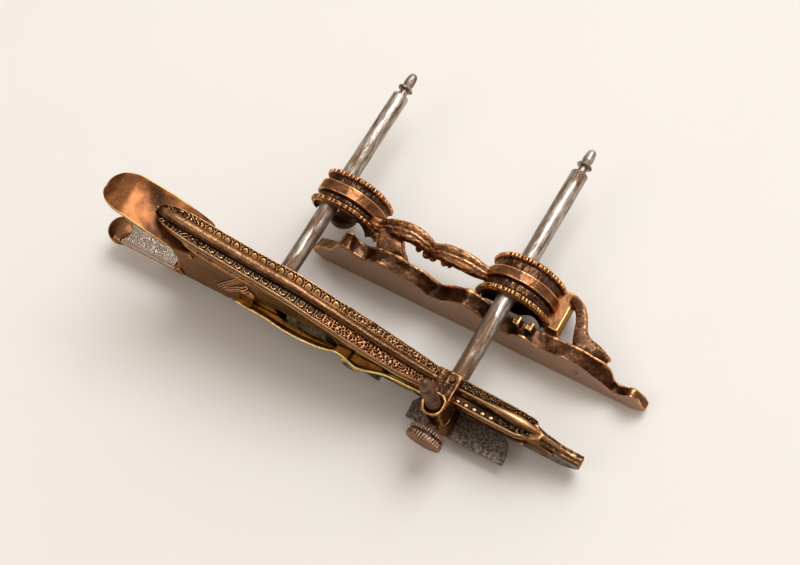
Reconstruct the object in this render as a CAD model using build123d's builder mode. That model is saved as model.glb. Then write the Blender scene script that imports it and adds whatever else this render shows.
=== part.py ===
from build123d import *
import math
import os

# Metal plough plane: stock with handle, two arms, sliding fence, cutter, depth stop.
# Origin: sole plane, stock mid-plane, below the rear arm. +X nose, +Y fence, +Z up. Millimetres.

# ---- arms -------------------------------------------------------------------
ARM_R = 4.0
ARM_Z = 28.0
REAR_X = 0.0
FRONT_X = 94.0
ARM_START_Y = -3.5
ARM_SHOULDER_Y = 114.5
ARM_END_CHAMFER = 0.6
NECK_R = 1.9
NECK_L = 3.4
FLANGE_R = 3.7
FLANGE_T = 1.1
TIP_R = 2.5
TIP_L = 8.2
ARM_SLIDE_GAP = 0.06
PIN_R = 1.25
PIN_L = 12.4
PIN_Y = 1.5
FRONT_PIN_Z = 29.9

# ---- stock ------------------------------------------------------------------
WEB_HALF = 5.2
CHEEK_Y = 6.8
RAIL_DROP = 4.8
RAIL_T = 7.2
RIB_HALF = 2.0
CREST = [(-44.5, 76.0), (-40.0, 78.0), (-20.0, 74.0), (0.0, 69.5), (20.0, 65.5),
         (40.0, 59.0), (62.0, 48.5), (87.0, 36.5)]
RAIL_NEAR = [(-46.5, 0.0), (-44.5, -3.2), (-36.0, -6.0), (-26.0, -7.4), (8.0, -7.4),
             (43.0, -6.0), (70.0, -5.2), (88.0, -4.8)]
RAIL_FAR = [(-46.5, 0.0), (-44.5, 3.0), (-36.0, 5.2), (-26.0, 6.2), (8.0, 6.2),
            (43.0, 5.6), (70.0, 5.0), (88.0, 4.8)]
HORN_HALF = 10.0
ARM_BOSS_R = 8.5
BLOCK_X = (86.3, 97.6)
BLOCK_Y = (-10.6, 4.8)
BLOCK_Z = (9.0, 35.0)
FRONT_RAIL_END = 134.0
FRONT_RAIL_HALF = 7.0
FRONT_RAIL_TOP = 29.2
NOSE_HALF = 2.4

# ---- skates, rivets, heel plate ----------------------------------------------
SKATE_HALF = 1.5
SKATE_TOP = 18.0
REAR_TOP = 14.2
WEB_BOTTOM = 11.0
RIVET_R = 1.3
RIVETS = [(-58.0, 9.5), (-22.0, 13.2), (68.0, 13.0), (112.0, 13.0)]
RIVET_PROUD = 0.3
REAR_RIVET_HALF = 4.6
LOWER_HORN_HALF = 6.0
HORN_BOTTOM = 7.4
HORN_KEEL = 3.4
LOBE_R = 6.9
FRONT_WEB_HALF = 3.0
HEEL_X = -71.0
HEEL_Z = 15.0
HEEL_T = 1.2
HEEL_L = 32.0
HEEL_W = 11.4
HEEL_PIN_R = 0.9
HEEL_PIN_L = 2.2
HEEL_PIN_X = (-83.0, -61.0)

# ---- cutter and clamp ---------------------------------------------------------
CUT_EDGE_X = 54.0
CUT_Y = (-5.2, 2.2)
CUT_T = 7.0
CUT_TOP_Z = 26.5
CUT_HEAD_X = (11.0, 31.5)
CUT_HEAD_Z = 20.0
BEVEL = 30.0
SIDE_GAP = 0.05
NOTCH_W = 3.4
NOTCH_D = 1.5
CLAMP_Z = (15.0, 28.0)
CLAMP_FLOOR = 24.0
TROUGH_BOTTOM = 22.0
PLATE_T = 2.6
SCREW_BOSS_R = 5.2
SCREW_BOSS_L = 5.0
CLAMP_WALL = 1.4
CLAMP_SCREW = (46.0, 20.5)
CLAMP_SCREW_R = 1.9
CLAMP_HEAD_R = 3.4
CLAMP_HEAD_T = 1.8
CLAMP_SEAT = 8.6
CLAMP_DOWEL = (77.0, 19.5)
DOWEL_R = 1.4

# ---- depth stop -----------------------------------------------------------------
POST_X = 93.0
POST_Y = -11.8
POST_R = 3.175
POST_GAP = 0.08
POST_TOP = 64.0
POST_RING_R = 5.45
POST_RING_TOP = 38.0
POST_RING_BOTTOM = 10.0
SHOE_Z = (6.4, 8.8)
TENON_R = 2.2
STOP_SCREW_Z = 22.5
STOP_SCREW_R = 2.3
STOP_DISC_R = 8.3
STOP_DISC_Y = (-20.2, -25.6)
KNURL_D = 0.4

# ---- fence ------------------------------------------------------------------------
FENCE_Y = 35.0
FENCE_T = 7.6
FENCE_SCREW_R = 2.3
FENCE_KNOB_R = 7.5
# centre x, centre z, radius, first y, last y, growth of the near rim, growth of the far rim, arch x
BOSSES = [(6.5, 19.0, 14.2, 48.5, 66.0, 1.5, 0.8, 15.5), (96.0, 16.5, 16.4, 47.0, 65.0, 1.7, 1.0, 106.0)]
RIM_T = 3.2
BAND_HALF = 3.0
BAND_GROW = 1.2
BOSS_CUT = 2.0
ARCH_R = 6.5
SLEEVE_R = 5.6
SLEEVE_INSET = 0.4
SCREW_Y = 56.5
SCREW_SEAT_Z = 16.0
SCREW_COLLAR_R = 5.2
KNOB_TOP_Z = 14.0
KNOB_T = 6.0
LUG_X = (113.6, 118.2)
LUG_Z = (7.6, 18.8)
BRIDGE_Y = (51.0, 56.5)
# stations of each leg from the plate up to its boss: x, y, z, length in x, length in y
LEGS = [((34.0, 39.4, 10.0, 12.0, 8.0), (31.0, 44.5, 18.0, 9.0, 8.0), (27.0, 52.0, 25.0, 8.0, 9.0)),
        ((136.0, 39.4, 12.0, 12.0, 8.0), (131.5, 46.5, 20.0, 7.0, 7.0), (122.0, 59.0, 18.0, 7.0, 10.0))]

os.makedirs("parts", exist_ok=True)


def save(piece, name):
    """Label one finished piece and write its STEP file."""
    piece.part.label = name
    export_step(piece.part, f"parts/{name}.step")


def heel_pins(mode):
    """The two small pins that hold the heel plate, or their holes."""
    with Locations(*[(x, 0.0, HEEL_Z + HEEL_T / 2) for x in HEEL_PIN_X]):
        Cylinder(HEEL_PIN_R, HEEL_PIN_L, align=(Align.CENTER, Align.CENTER, Align.MAX), mode=mode)


# ============================== stock ==============================================
crest_low = [(x, z - RAIL_DROP - RAIL_T) for x, z in CREST]
crest_mid = [(x, z - RAIL_DROP) for x, z in CREST]

with BuildPart() as rail:
    with BuildSketch(Plane.XZ):
        with BuildLine():
            rail_top = Spline(*crest_mid)
            rail_bottom = Spline(*crest_low)
            Line(rail_top @ 0, rail_bottom @ 0)
            Line(rail_top @ 1, rail_bottom @ 1)
        make_face()
    extrude(amount=HORN_HALF, both=True)
    with BuildSketch(Plane.XY):
        with BuildLine():
            side_a = Spline(*RAIL_FAR)
            side_b = Spline(*RAIL_NEAR)
            Line(side_a @ 1, side_b @ 1)
        make_face()
    extrude(amount=120.0, mode=Mode.INTERSECT)

with BuildPart() as rib:
    with BuildSketch(Plane.XZ):
        with BuildLine():
            rib_top = Spline(*CREST)
            rib_bottom = Spline(*[(x, z - RAIL_DROP - 1.0) for x, z in CREST])
            Line(rib_top @ 0, rib_bottom @ 0)
            Line(rib_top @ 1, rib_bottom @ 1)
        make_face()
    extrude(amount=RIB_HALF, both=True)
    fillet(rib.faces().sort_by(Axis.Z)[-1].edges().filter_by(Axis.Y, reverse=True), 1.2)

with BuildPart() as horn:
    with BuildSketch(Plane.XZ):
        with BuildLine():
            horn_top = Spline((-30.0, 60.5), (-40.0, 68.5), (-50.0, 74.5), (-60.0, 78.0),
                              (-68.0, 78.0), (-73.5, 74.0))
            tip = Spline(horn_top @ 1, (-74.0, 71.0), (-72.0, 69.5))
            horn_under = Spline(tip @ 1, (-64.0, 71.0), (-52.0, 67.0), (-40.0, 60.0), (-30.0, 51.5))
            Line(horn_under @ 1, horn_top @ 0)
        make_face()
    extrude(amount=HORN_HALF, both=True)
    with BuildSketch(Plane.XY):
        with BuildLine():
            Line((-30.0, -7.6), (-30.0, 9.2))
            Spline((-30.0, 9.2), (-45.0, 10.0), (-58.0, HORN_HALF))
            EllipticalCenterArc((-58.0, 0.0), 16.2, HORN_HALF, 90.0, arc_size=180.0)
            Spline((-58.0, -HORN_HALF), (-45.0, -10.0), (-30.0, -7.6))
        make_face()
    extrude(amount=120.0, mode=Mode.INTERSECT)

with BuildPart() as web:
    with BuildSketch(Plane.XZ) as web_outline:
        with BuildLine():
            rear_edge = Spline((-62.0, WEB_BOTTOM), (-50.0, 24.0), (-46.5, 38.0), (-47.0, 52.0), (-57.0, 69.0))
            under_rail = Spline(rear_edge @ 1, (-40.0, 64.0), (-20.0, 64.5), (0.0, 60.5), (20.0, 56.5),
                                (40.0, 50.0), (62.0, 40.0), (88.0, 28.0))
            Line(under_rail @ 1, (88.0, WEB_BOTTOM))
            Line((88.0, WEB_BOTTOM), (-62.0, WEB_BOTTOM))
        make_face()
        with BuildLine(mode=Mode.ADD):
            Polyline((63.0, 18.5), (83.0, 18.5), (83.0, 23.5), (63.0, 33.5), (60.0, 30.0), close=True)
        make_face(mode=Mode.SUBTRACT)
    extrude(amount=WEB_HALF, both=True)

with BuildPart() as lower_horn:
    with BuildSketch(Plane.XZ):
        with BuildLine():
            Polyline((-90.6, HORN_BOTTOM), (-55.0, HORN_BOTTOM), (-50.0, 14.0), (-50.0, 21.0), (-55.0, HEEL_Z),
                     (-87.2, HEEL_Z), (-87.2, 17.0), (-90.6, 19.0), close=True)
        make_face()
    extrude(amount=LOWER_HORN_HALF, both=True)
    with BuildSketch(Plane.YZ.offset(-91.0)):
        with BuildLine():
            Polyline((-LOWER_HORN_HALF, 22.0), (-LOWER_HORN_HALF, 13.0), (-HORN_KEEL, HORN_BOTTOM),
                     (HORN_KEEL, HORN_BOTTOM), (LOWER_HORN_HALF, 13.0), (LOWER_HORN_HALF, 22.0), close=True)
        make_face()
    extrude(amount=45.0, mode=Mode.INTERSECT)
    with Locations((-90.6, 0.0, 13.0)):
        Sphere(LOBE_R)

with BuildPart() as main_stock:
    add(web.part)
    add(horn.part)
    add(rail.part)
    add(rib.part)
    # left cheek behind the cutter and the rear arm boss
    with BuildSketch(Plane.XZ.offset(-CHEEK_Y)):
        with BuildLine():
            Polyline((-8.0, WEB_BOTTOM), (60.0, WEB_BOTTOM), (57.0, 20.0), (40.0, 36.0),
                     (8.0, 40.0), (-8.0, 34.0), close=True)
        make_face()
    extrude(amount=CHEEK_Y)
    with BuildSketch(Plane.XZ.offset(-CHEEK_Y - 0.8)):
        with Locations((REAR_X, ARM_Z)):
            Circle(ARM_BOSS_R)
    extrude(amount=CHEEK_Y + WEB_HALF)
    # lower horn of the handle, with the seat of the heel plate
    add(lower_horn.part)
    # clamp block with the vertical boss of the depth stop
    with Locations(((BLOCK_X[0] + BLOCK_X[1]) / 2, (BLOCK_Y[0] + BLOCK_Y[1]) / 2,
                    (BLOCK_Z[0] + BLOCK_Z[1]) / 2)):
        Box(BLOCK_X[1] - BLOCK_X[0], BLOCK_Y[1] - BLOCK_Y[0], BLOCK_Z[1] - BLOCK_Z[0])
    with BuildSketch(Plane.XY.offset(POST_RING_BOTTOM)):
        with Locations((POST_X, POST_Y)):
            Circle(POST_RING_R)
    extrude(amount=POST_RING_TOP - POST_RING_BOTTOM)
    # front rail with its thin rib, and the web that holds the front skate
    with BuildSketch(Plane.XY.offset(FRONT_RAIL_TOP)):
        with BuildLine():
            Polyline((97.0, -FRONT_RAIL_HALF), (131.0, -FRONT_RAIL_HALF), (136.5, -4.0), (138.0, 0.0),
                     (FRONT_RAIL_END, 3.0), (FRONT_RAIL_END, 4.2), (97.0, 5.8), close=True)
        make_face()
    extrude(amount=-6.4)
    with BuildSketch(Plane.XZ):
        with BuildLine():
            rib_line = Spline((97.0, 32.4), (118.0, 32.4), (130.0, 30.0), (139.0, 24.0), (148.0, 18.2), (155.0, 17.8))
            Line(rib_line @ 1, (154.5, 14.0))
            rib_under = Spline((154.5, 14.0), (147.0, 14.2), (138.0, 19.5), (130.0, 22.5))
            Line(rib_under @ 1, (97.0, 22.5))
            Line((97.0, 22.5), rib_line @ 0)
        make_face()
    extrude(amount=1.8, both=True)
    with BuildSketch(Plane.XZ):
        with BuildLine():
            Polyline((86.0, WEB_BOTTOM), (142.0, WEB_BOTTOM), (142.0, 18.0), (132.0, 24.0),
                     (86.0, 24.0), close=True)
        make_face()
    extrude(amount=FRONT_WEB_HALF, both=True)
    with BuildSketch(Plane.XZ):
        with BuildLine():
            nose_top = Spline((133.0, 27.6), (139.0, 23.4), (148.0, 17.8), (155.0, 17.4))
            Line(nose_top @ 1, (154.5, 14.0))
            nose_low = Spline((154.5, 14.0), (147.0, 14.2), (139.0, 18.5), (133.0, 22.0))
            Line(nose_low @ 1, nose_top @ 0)
        make_face()
    extrude(amount=NOSE_HALF, both=True)
    # slots for the two skates
    with BuildSketch(Plane.XZ.offset(-SKATE_HALF)):
        with BuildLine():
            Polyline((-69.0, -1.0), (156.0, -1.0), (156.0, 13.8), (147.0, 14.0), (140.5, SKATE_TOP),
                     (52.6, SKATE_TOP), (52.6, REAR_TOP), (29.8, REAR_TOP), (6.0, REAR_TOP), (6.0, 16.4),
                     (-60.0, 13.0), (-69.0, 12.0), close=True)
        make_face()
    extrude(amount=2 * SKATE_HALF, mode=Mode.SUBTRACT)
    # cutter bed and throat, open to the right
    with BuildSketch(Plane.XZ.offset(-CUT_Y[1] - SIDE_GAP)):
        with BuildLine():
            Polyline((44.05, 0.0), (CUT_EDGE_X + 4.0, 0.0), (CUT_EDGE_X + 4.0, 6.0), (38.5, 26.0), (36.0, 32.5),
                     (6.0, 32.5), (6.0, 14.5), (29.55, 14.5), close=True)
        make_face()
    extrude(amount=30.0, mode=Mode.SUBTRACT)
    # seat of the heel plate
    with Locations((HEEL_X, 0.0, HEEL_Z)):
        Box(HEEL_L, HEEL_W, HEEL_T, mode=Mode.SUBTRACT)
    heel_pins(Mode.SUBTRACT)
    # arm sockets
    with BuildSketch(Plane.XZ.offset(-ARM_START_Y)):
        with Locations((REAR_X, ARM_Z), (FRONT_X, ARM_Z)):
            Circle(ARM_R)
    extrude(amount=-30.0, mode=Mode.SUBTRACT)
    # cross pins of the arms
    with Locations((REAR_X, PIN_Y, ARM_Z), (FRONT_X, PIN_Y, FRONT_PIN_Z)):
        Cylinder(PIN_R, PIN_L, mode=Mode.SUBTRACT)
    # post bore
    with Locations((POST_X, POST_Y, 25.0)):
        Cylinder(POST_R + POST_GAP, 60.0, mode=Mode.SUBTRACT)
    with Locations((POST_X, POST_Y, POST_RING_TOP)):
        Cone(POST_R + 0.05, POST_R + 1.2, 1.6, align=(Align.CENTER, Align.CENTER, Align.MAX), mode=Mode.SUBTRACT)
    # hole of the depth stop screw
    with BuildSketch(Plane.XZ.offset(-POST_Y)):
        with Locations((POST_X, STOP_SCREW_Z)):
            Circle(STOP_SCREW_R + SIDE_GAP)
    extrude(amount=30.0, mode=Mode.SUBTRACT)
    # clamp screw hole and dowel hole
    with BuildSketch(Plane.XZ.offset(-2.0)):
        with Locations(CLAMP_SCREW):
            Circle(CLAMP_SCREW_R + SIDE_GAP)
        with Locations(CLAMP_DOWEL):
            Circle(DOWEL_R)
    extrude(amount=20.0, mode=Mode.SUBTRACT)
    # rivet holes through web and skates
    with BuildSketch(Plane.XZ):
        with Locations(*RIVETS):
            Circle(RIVET_R)
    extrude(amount=20.0, both=True, mode=Mode.SUBTRACT)


save(main_stock, "main_stock")

# ============================== skates, rivets, heel plate ==========================
with BuildPart() as rear_skate:
    with BuildSketch(Plane.XZ):
        with BuildLine():
            Polyline((-69.0, 3.0), (-66.0, 0.0), (44.0, 0.0), (29.8, REAR_TOP), (6.0, REAR_TOP), (6.0, 16.4),
                     (-60.0, 13.0), (-69.0, 12.0), close=True)
        make_face()
        with Locations(RIVETS[0], RIVETS[1]):
            Circle(RIVET_R, mode=Mode.SUBTRACT)
    extrude(amount=SKATE_HALF, both=True)
save(rear_skate, "rear_skate")

with BuildPart() as front_skate:
    with BuildSketch(Plane.XZ):
        with BuildLine():
            throat = Line((57.5, 0.0), (57.0, 6.0))
            Line(throat @ 1, (52.6, 14.0))
            Line((52.6, 14.0), (52.6, SKATE_TOP))
            Line((52.6, SKATE_TOP), (140.5, SKATE_TOP))
            Line((140.5, SKATE_TOP), (147.0, 14.0))
            Line((147.0, 14.0), (153.5, 13.8))
            toe = Spline((153.5, 13.8), (153.4, 7.0), (147.0, 1.4), (138.0, 0.0),
                         tangents=((0.1, -1.0), (-1.0, 0.0)))
            Line(toe @ 1, throat @ 0)
        make_face()
        with Locations(RIVETS[2], RIVETS[3]):
            Circle(RIVET_R, mode=Mode.SUBTRACT)
    extrude(amount=SKATE_HALF, both=True)
save(front_skate, "front_skate")


def rivet(spot, half_length):
    """One rivet across the stock at (x, z), its heads a little proud."""
    with Locations((spot[0], 0.0, spot[1])):
        Cylinder(RIVET_R, 2 * half_length, rotation=(90.0, 0.0, 0.0))


with BuildPart() as rear_skate_rivets:
    rivet(RIVETS[0], REAR_RIVET_HALF)
    rivet(RIVETS[1], WEB_HALF + RIVET_PROUD)
save(rear_skate_rivets, "rear_skate_rivets")

with BuildPart() as front_skate_rivets:
    rivet(RIVETS[2], WEB_HALF + RIVET_PROUD)
    rivet(RIVETS[3], FRONT_WEB_HALF + RIVET_PROUD)
save(front_skate_rivets, "front_skate_rivets")

with BuildPart() as heel_plate:
    with Locations((HEEL_X, 0.0, HEEL_Z)):
        Box(HEEL_L, HEEL_W, HEEL_T)
    fillet(heel_plate.edges().filter_by(Axis.Z), 0.8)
    heel_pins(Mode.SUBTRACT)
save(heel_plate, "heel_plate")

with BuildPart() as heel_plate_pins:
    heel_pins(Mode.ADD)
save(heel_plate_pins, "heel_plate_pins")

# ============================== arms and their pins =================================


def arm_half_section(x):
    """Half section of one arm: rod, chamfered shoulder, neck, flange and bullet tip."""
    y0 = ARM_START_Y
    y1 = ARM_SHOULDER_Y
    y2 = y1 + NECK_L
    y3 = y2 + FLANGE_T
    y4 = y3 + TIP_L
    with BuildSketch(Plane.XY.offset(ARM_Z)) as half:
        with BuildLine():
            Polyline((x, y0), (x + ARM_R, y0), (x + ARM_R, y1 - ARM_END_CHAMFER),
                     (x + ARM_R - ARM_END_CHAMFER, y1), (x + NECK_R + 0.3, y1), (x + NECK_R, y2),
                     (x + FLANGE_R - 0.3, y2), (x + FLANGE_R, y2 + 0.4), (x + FLANGE_R - 0.3, y3),
                     (x + NECK_R + 0.1, y3 + 0.5), (x + TIP_R, y3 + 2.4))
            Spline((x + TIP_R, y3 + 2.4), (x + TIP_R - 0.2, y3 + 5.4), (x, y4),
                   tangents=((0.0, 1.0), (-1.0, 0.0)))
            Line((x, y4), (x, y0))
        make_face()
    return half.sketch


def arm_pin(x, z_mid):
    with Locations((x, PIN_Y, z_mid)):
        Cylinder(PIN_R, PIN_L)


rear_section = arm_half_section(REAR_X)
front_section = arm_half_section(FRONT_X)

with BuildPart() as rear_arm:
    revolve(rear_section, axis=Axis((REAR_X, 0.0, ARM_Z), (0.0, 1.0, 0.0)))
    with Locations((REAR_X, PIN_Y, ARM_Z)):
        Cylinder(PIN_R, PIN_L, mode=Mode.SUBTRACT)
save(rear_arm, "rear_arm")

with BuildPart() as front_arm:
    revolve(front_section, axis=Axis((FRONT_X, 0.0, ARM_Z), (0.0, 1.0, 0.0)))
    with Locations((FRONT_X, PIN_Y, FRONT_PIN_Z)):
        Cylinder(PIN_R, PIN_L, mode=Mode.SUBTRACT)
save(front_arm, "front_arm")

with BuildPart() as arm_pins:
    arm_pin(REAR_X, ARM_Z)
    arm_pin(FRONT_X, FRONT_PIN_Z)
save(arm_pins, "arm_pins")

# ============================== cutter and its clamp =================================
bed_sum = CUT_EDGE_X - CUT_T * math.sqrt(2.0)
bevel_dir = math.radians(180.0 - 45.0 + BEVEL)
bevel_len = (CUT_EDGE_X - bed_sum) / -(math.cos(bevel_dir) + math.sin(bevel_dir))
heel = (CUT_EDGE_X + bevel_len * math.cos(bevel_dir), bevel_len * math.sin(bevel_dir))

with BuildPart() as cutter:
    with BuildSketch(Plane.XZ.offset(-CUT_Y[1])):
        with BuildLine():
            Polyline((CUT_EDGE_X, 0.0), (CUT_HEAD_X[1], CUT_EDGE_X - CUT_HEAD_X[1]),
                     (CUT_HEAD_X[1], CUT_TOP_Z), (CUT_HEAD_X[0], CUT_TOP_Z), (CUT_HEAD_X[0], CUT_HEAD_Z),
                     (bed_sum - CUT_HEAD_Z, CUT_HEAD_Z), heel, close=True)
        make_face()
    extrude(amount=CUT_Y[1] - CUT_Y[0])
    with Locations((16.5, 0.4, CUT_TOP_Z), (26.0, 0.4, CUT_TOP_Z)):
        Box(NOTCH_W, NOTCH_D, 2.0, mode=Mode.SUBTRACT)
    chamfer(cutter.edges().group_by(Axis.Z)[-1].filter_by(Axis.X).sort_by(Axis.Y)[0], 0.4)
save(cutter, "cutter")

RIM = [(-6.0, -10.0), (2.0, -10.2), (12.6, -11.3), (24.5, -11.5), (34.0, -10.6), (39.0, -9.4)]
LOBE = [(39.0, -9.4), (42.0, -9.4), (46.5, -10.4), (52.0, -11.4), (57.0, -10.6), (62.0, -9.1),
        (69.0, -8.2), (77.0, -8.1), (84.5, -8.0)]
CLAMP_IN = CUT_Y[0] - SIDE_GAP
CLAMP_BACK = -14.0


with BuildPart() as cutter_clamp:
    with BuildSketch(Plane.XY.offset(TROUGH_BOTTOM)):
        with BuildLine():
            Line((CLAMP_BACK, CLAMP_IN), (CLAMP_BACK, -9.4))
            Line((CLAMP_BACK, -9.4), RIM[0])
            Spline(*RIM)
            Spline(*LOBE)
            Line(LOBE[-1], (LOBE[-1][0], CLAMP_IN))
            Line((LOBE[-1][0], CLAMP_IN), (CLAMP_BACK, CLAMP_IN))
        make_face()
    extrude(amount=CLAMP_Z[1] - TROUGH_BOTTOM)
    # plate that bears on the side of the cutter, and the boss of the clamp screw
    with Locations((CLAMP_BACK, CLAMP_IN, CLAMP_Z[0])):
        Box(LOBE[-1][0] - CLAMP_BACK, PLATE_T, CLAMP_Z[1] - CLAMP_Z[0],
            align=(Align.MIN, Align.MAX, Align.MIN))
    with BuildSketch(Plane.XZ.offset(-CLAMP_IN)):
        with Locations(CLAMP_SCREW):
            Circle(SCREW_BOSS_R)
    extrude(amount=SCREW_BOSS_L)
    with BuildSketch(Plane.XY.offset(CLAMP_FLOOR)):
        with BuildLine():
            Line((-6.0, CLAMP_IN + 1.0), (-6.0, -10.0 + CLAMP_WALL))
            Spline(*[(x, y + CLAMP_WALL) for x, y in RIM])
            Line((RIM[-1][0], RIM[-1][1] + CLAMP_WALL), (RIM[-1][0], CLAMP_IN + 1.0))
            Line((RIM[-1][0], CLAMP_IN + 1.0), (-6.0, CLAMP_IN + 1.0))
        make_face()
    extrude(amount=20.0, mode=Mode.SUBTRACT)
    with BuildSketch(Plane.XY.offset(CLAMP_FLOOR + 1.6)):
        with BuildLine():
            second = Spline(*[(x, y + CLAMP_WALL) for x, y in LOBE[2:]])
            Line(second @ 1, (84.5, CLAMP_IN + 1.0))
            Line((84.5, CLAMP_IN + 1.0), (46.5, CLAMP_IN + 1.0))
            Line((46.5, CLAMP_IN + 1.0), second @ 0)
        make_face()
    extrude(amount=20.0, mode=Mode.SUBTRACT)
    # screw hole with a flush seat for its head, and the dowel hole
    with BuildSketch(Plane.XZ):
        with Locations(CLAMP_SCREW):
            Circle(CLAMP_SCREW_R + SIDE_GAP)
        with Locations(CLAMP_DOWEL):
            Circle(DOWEL_R + SIDE_GAP)
    extrude(amount=30.0, mode=Mode.SUBTRACT)
    with BuildSketch(Plane.XZ.offset(CLAMP_SEAT)):
        with Locations(CLAMP_SCREW):
            Circle(CLAMP_HEAD_R + SIDE_GAP)
    extrude(amount=10.0, mode=Mode.SUBTRACT)
save(cutter_clamp, "cutter_clamp")

with BuildPart() as clamp_screw:
    with BuildSketch(Plane.XZ.offset(-1.0)):
        with Locations(CLAMP_SCREW):
            Circle(CLAMP_SCREW_R)
    extrude(amount=CLAMP_SEAT + 1.0)
    with BuildSketch(Plane.XZ.offset(CLAMP_SEAT)):
        with Locations(CLAMP_SCREW):
            Circle(CLAMP_HEAD_R)
    extrude(amount=CLAMP_HEAD_T)
    chamfer(clamp_screw.faces().sort_by(Axis.Y)[0].edges(), 0.4)
    with Locations((CLAMP_SCREW[0], -CLAMP_SEAT - CLAMP_HEAD_T, CLAMP_SCREW[1])):
        Box(2 * CLAMP_HEAD_R, 1.6, 0.9, mode=Mode.SUBTRACT)
save(clamp_screw, "clamp_screw")

with BuildPart() as clamp_dowel:
    with BuildSketch(Plane.XZ.offset(-2.0)):
        with Locations(CLAMP_DOWEL):
            Circle(DOWEL_R)
    extrude(amount=9.0)
save(clamp_dowel, "clamp_dowel")

# ============================== depth stop ============================================
with BuildPart() as depth_stop_post:
    with BuildSketch(Plane.XZ.offset(-POST_Y)):
        with BuildLine():
            Polyline((POST_X, SHOE_Z[0]), (POST_X + TENON_R, SHOE_Z[0]), (POST_X + TENON_R, SHOE_Z[1]),
                     (POST_X + POST_R, SHOE_Z[1]), (POST_X + POST_R, POST_TOP - 7.6),
                     (POST_X + POST_R - 0.5, POST_TOP - 7.0), (POST_X + POST_R - 0.2, POST_TOP - 6.2))
            Spline((POST_X + POST_R - 0.2, POST_TOP - 6.2), (POST_X + POST_R - 0.6, POST_TOP - 2.6),
                   (POST_X, POST_TOP), tangents=((0.0, 1.0), (-1.0, 0.0)))
            Line((POST_X, POST_TOP), (POST_X, SHOE_Z[0]))
        make_face()
    revolve(axis=Axis((POST_X, POST_Y, 0.0), (0.0, 0.0, 1.0)))
save(depth_stop_post, "depth_stop_post")

with BuildPart() as depth_stop_shoe:
    with BuildSketch(Plane.XY.offset(SHOE_Z[0])):
        with BuildLine():
            Polyline((118.0, -4.0), (78.5, -4.0), (75.5, -8.0), (76.0, -15.4), (124.0, -15.4))
            Spline((124.0, -15.4), (123.1, -8.6), (118.0, -4.0), tangents=((0.0, 1.0), (-1.0, 0.0)))
        make_face()
        with Locations((POST_X, POST_Y)):
            Circle(TENON_R, mode=Mode.SUBTRACT)
    extrude(amount=SHOE_Z[1] - SHOE_Z[0])
save(depth_stop_shoe, "depth_stop_shoe")


def knurled_disc(radius, teeth, depth):
    """Outline of a disc with round knurl grooves cut in its rim."""
    with BuildSketch() as disc:
        Circle(radius)
        with PolarLocations(radius + 0.15, teeth):
            Circle(depth, mode=Mode.SUBTRACT)
    return disc.sketch


stop_disc = knurled_disc(STOP_DISC_R, 40, KNURL_D)
fence_disc = knurled_disc(FENCE_KNOB_R, 32, KNURL_D)

with BuildPart() as depth_stop_screw:
    with BuildSketch(Plane.XZ.offset(-POST_Y + POST_R)):
        with Locations((POST_X, STOP_SCREW_Z)):
            Circle(STOP_SCREW_R)
    extrude(amount=-STOP_DISC_Y[0] + POST_Y - POST_R)
    with BuildSketch(Plane.XZ.offset(-STOP_DISC_Y[0])):
        with Locations((POST_X, STOP_SCREW_Z)):
            add(stop_disc)
    extrude(amount=STOP_DISC_Y[0] - STOP_DISC_Y[1])
    with BuildSketch(Plane.XZ.offset(-STOP_DISC_Y[0] + 1.8)):
        with Locations((POST_X, STOP_SCREW_Z)):
            Circle(STOP_DISC_R + 1.0)
            Circle(STOP_DISC_R - 1.1, mode=Mode.SUBTRACT)
    extrude(amount=1.1, mode=Mode.SUBTRACT)
save(depth_stop_screw, "depth_stop_screw")

# ============================== fence ==================================================
PLATE_TOP = [(-4.6, 8.0), (-1.0, 12.4), (4.5, 15.0), (8.5, 19.5), (13.0, 26.0), (18.0, 28.6), (22.0, 25.6),
             (27.0, 24.6), (32.0, 27.4), (36.5, 29.2), (42.0, 27.2), (49.0, 24.4), (55.0, 21.6), (60.0, 17.8),
             (65.0, 19.0), (72.0, 24.6), (79.0, 28.2), (84.0, 26.0), (90.0, 21.8), (98.0, 18.8), (104.0, 22.0),
             (108.0, 23.0), (113.0, 19.8), (120.0, 19.8), (127.0, 22.6), (133.0, 21.0), (141.0, 16.2),
             (147.0, 11.6), (151.0, 8.6), (155.0, 10.8), (158.0, 13.6)]

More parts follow.
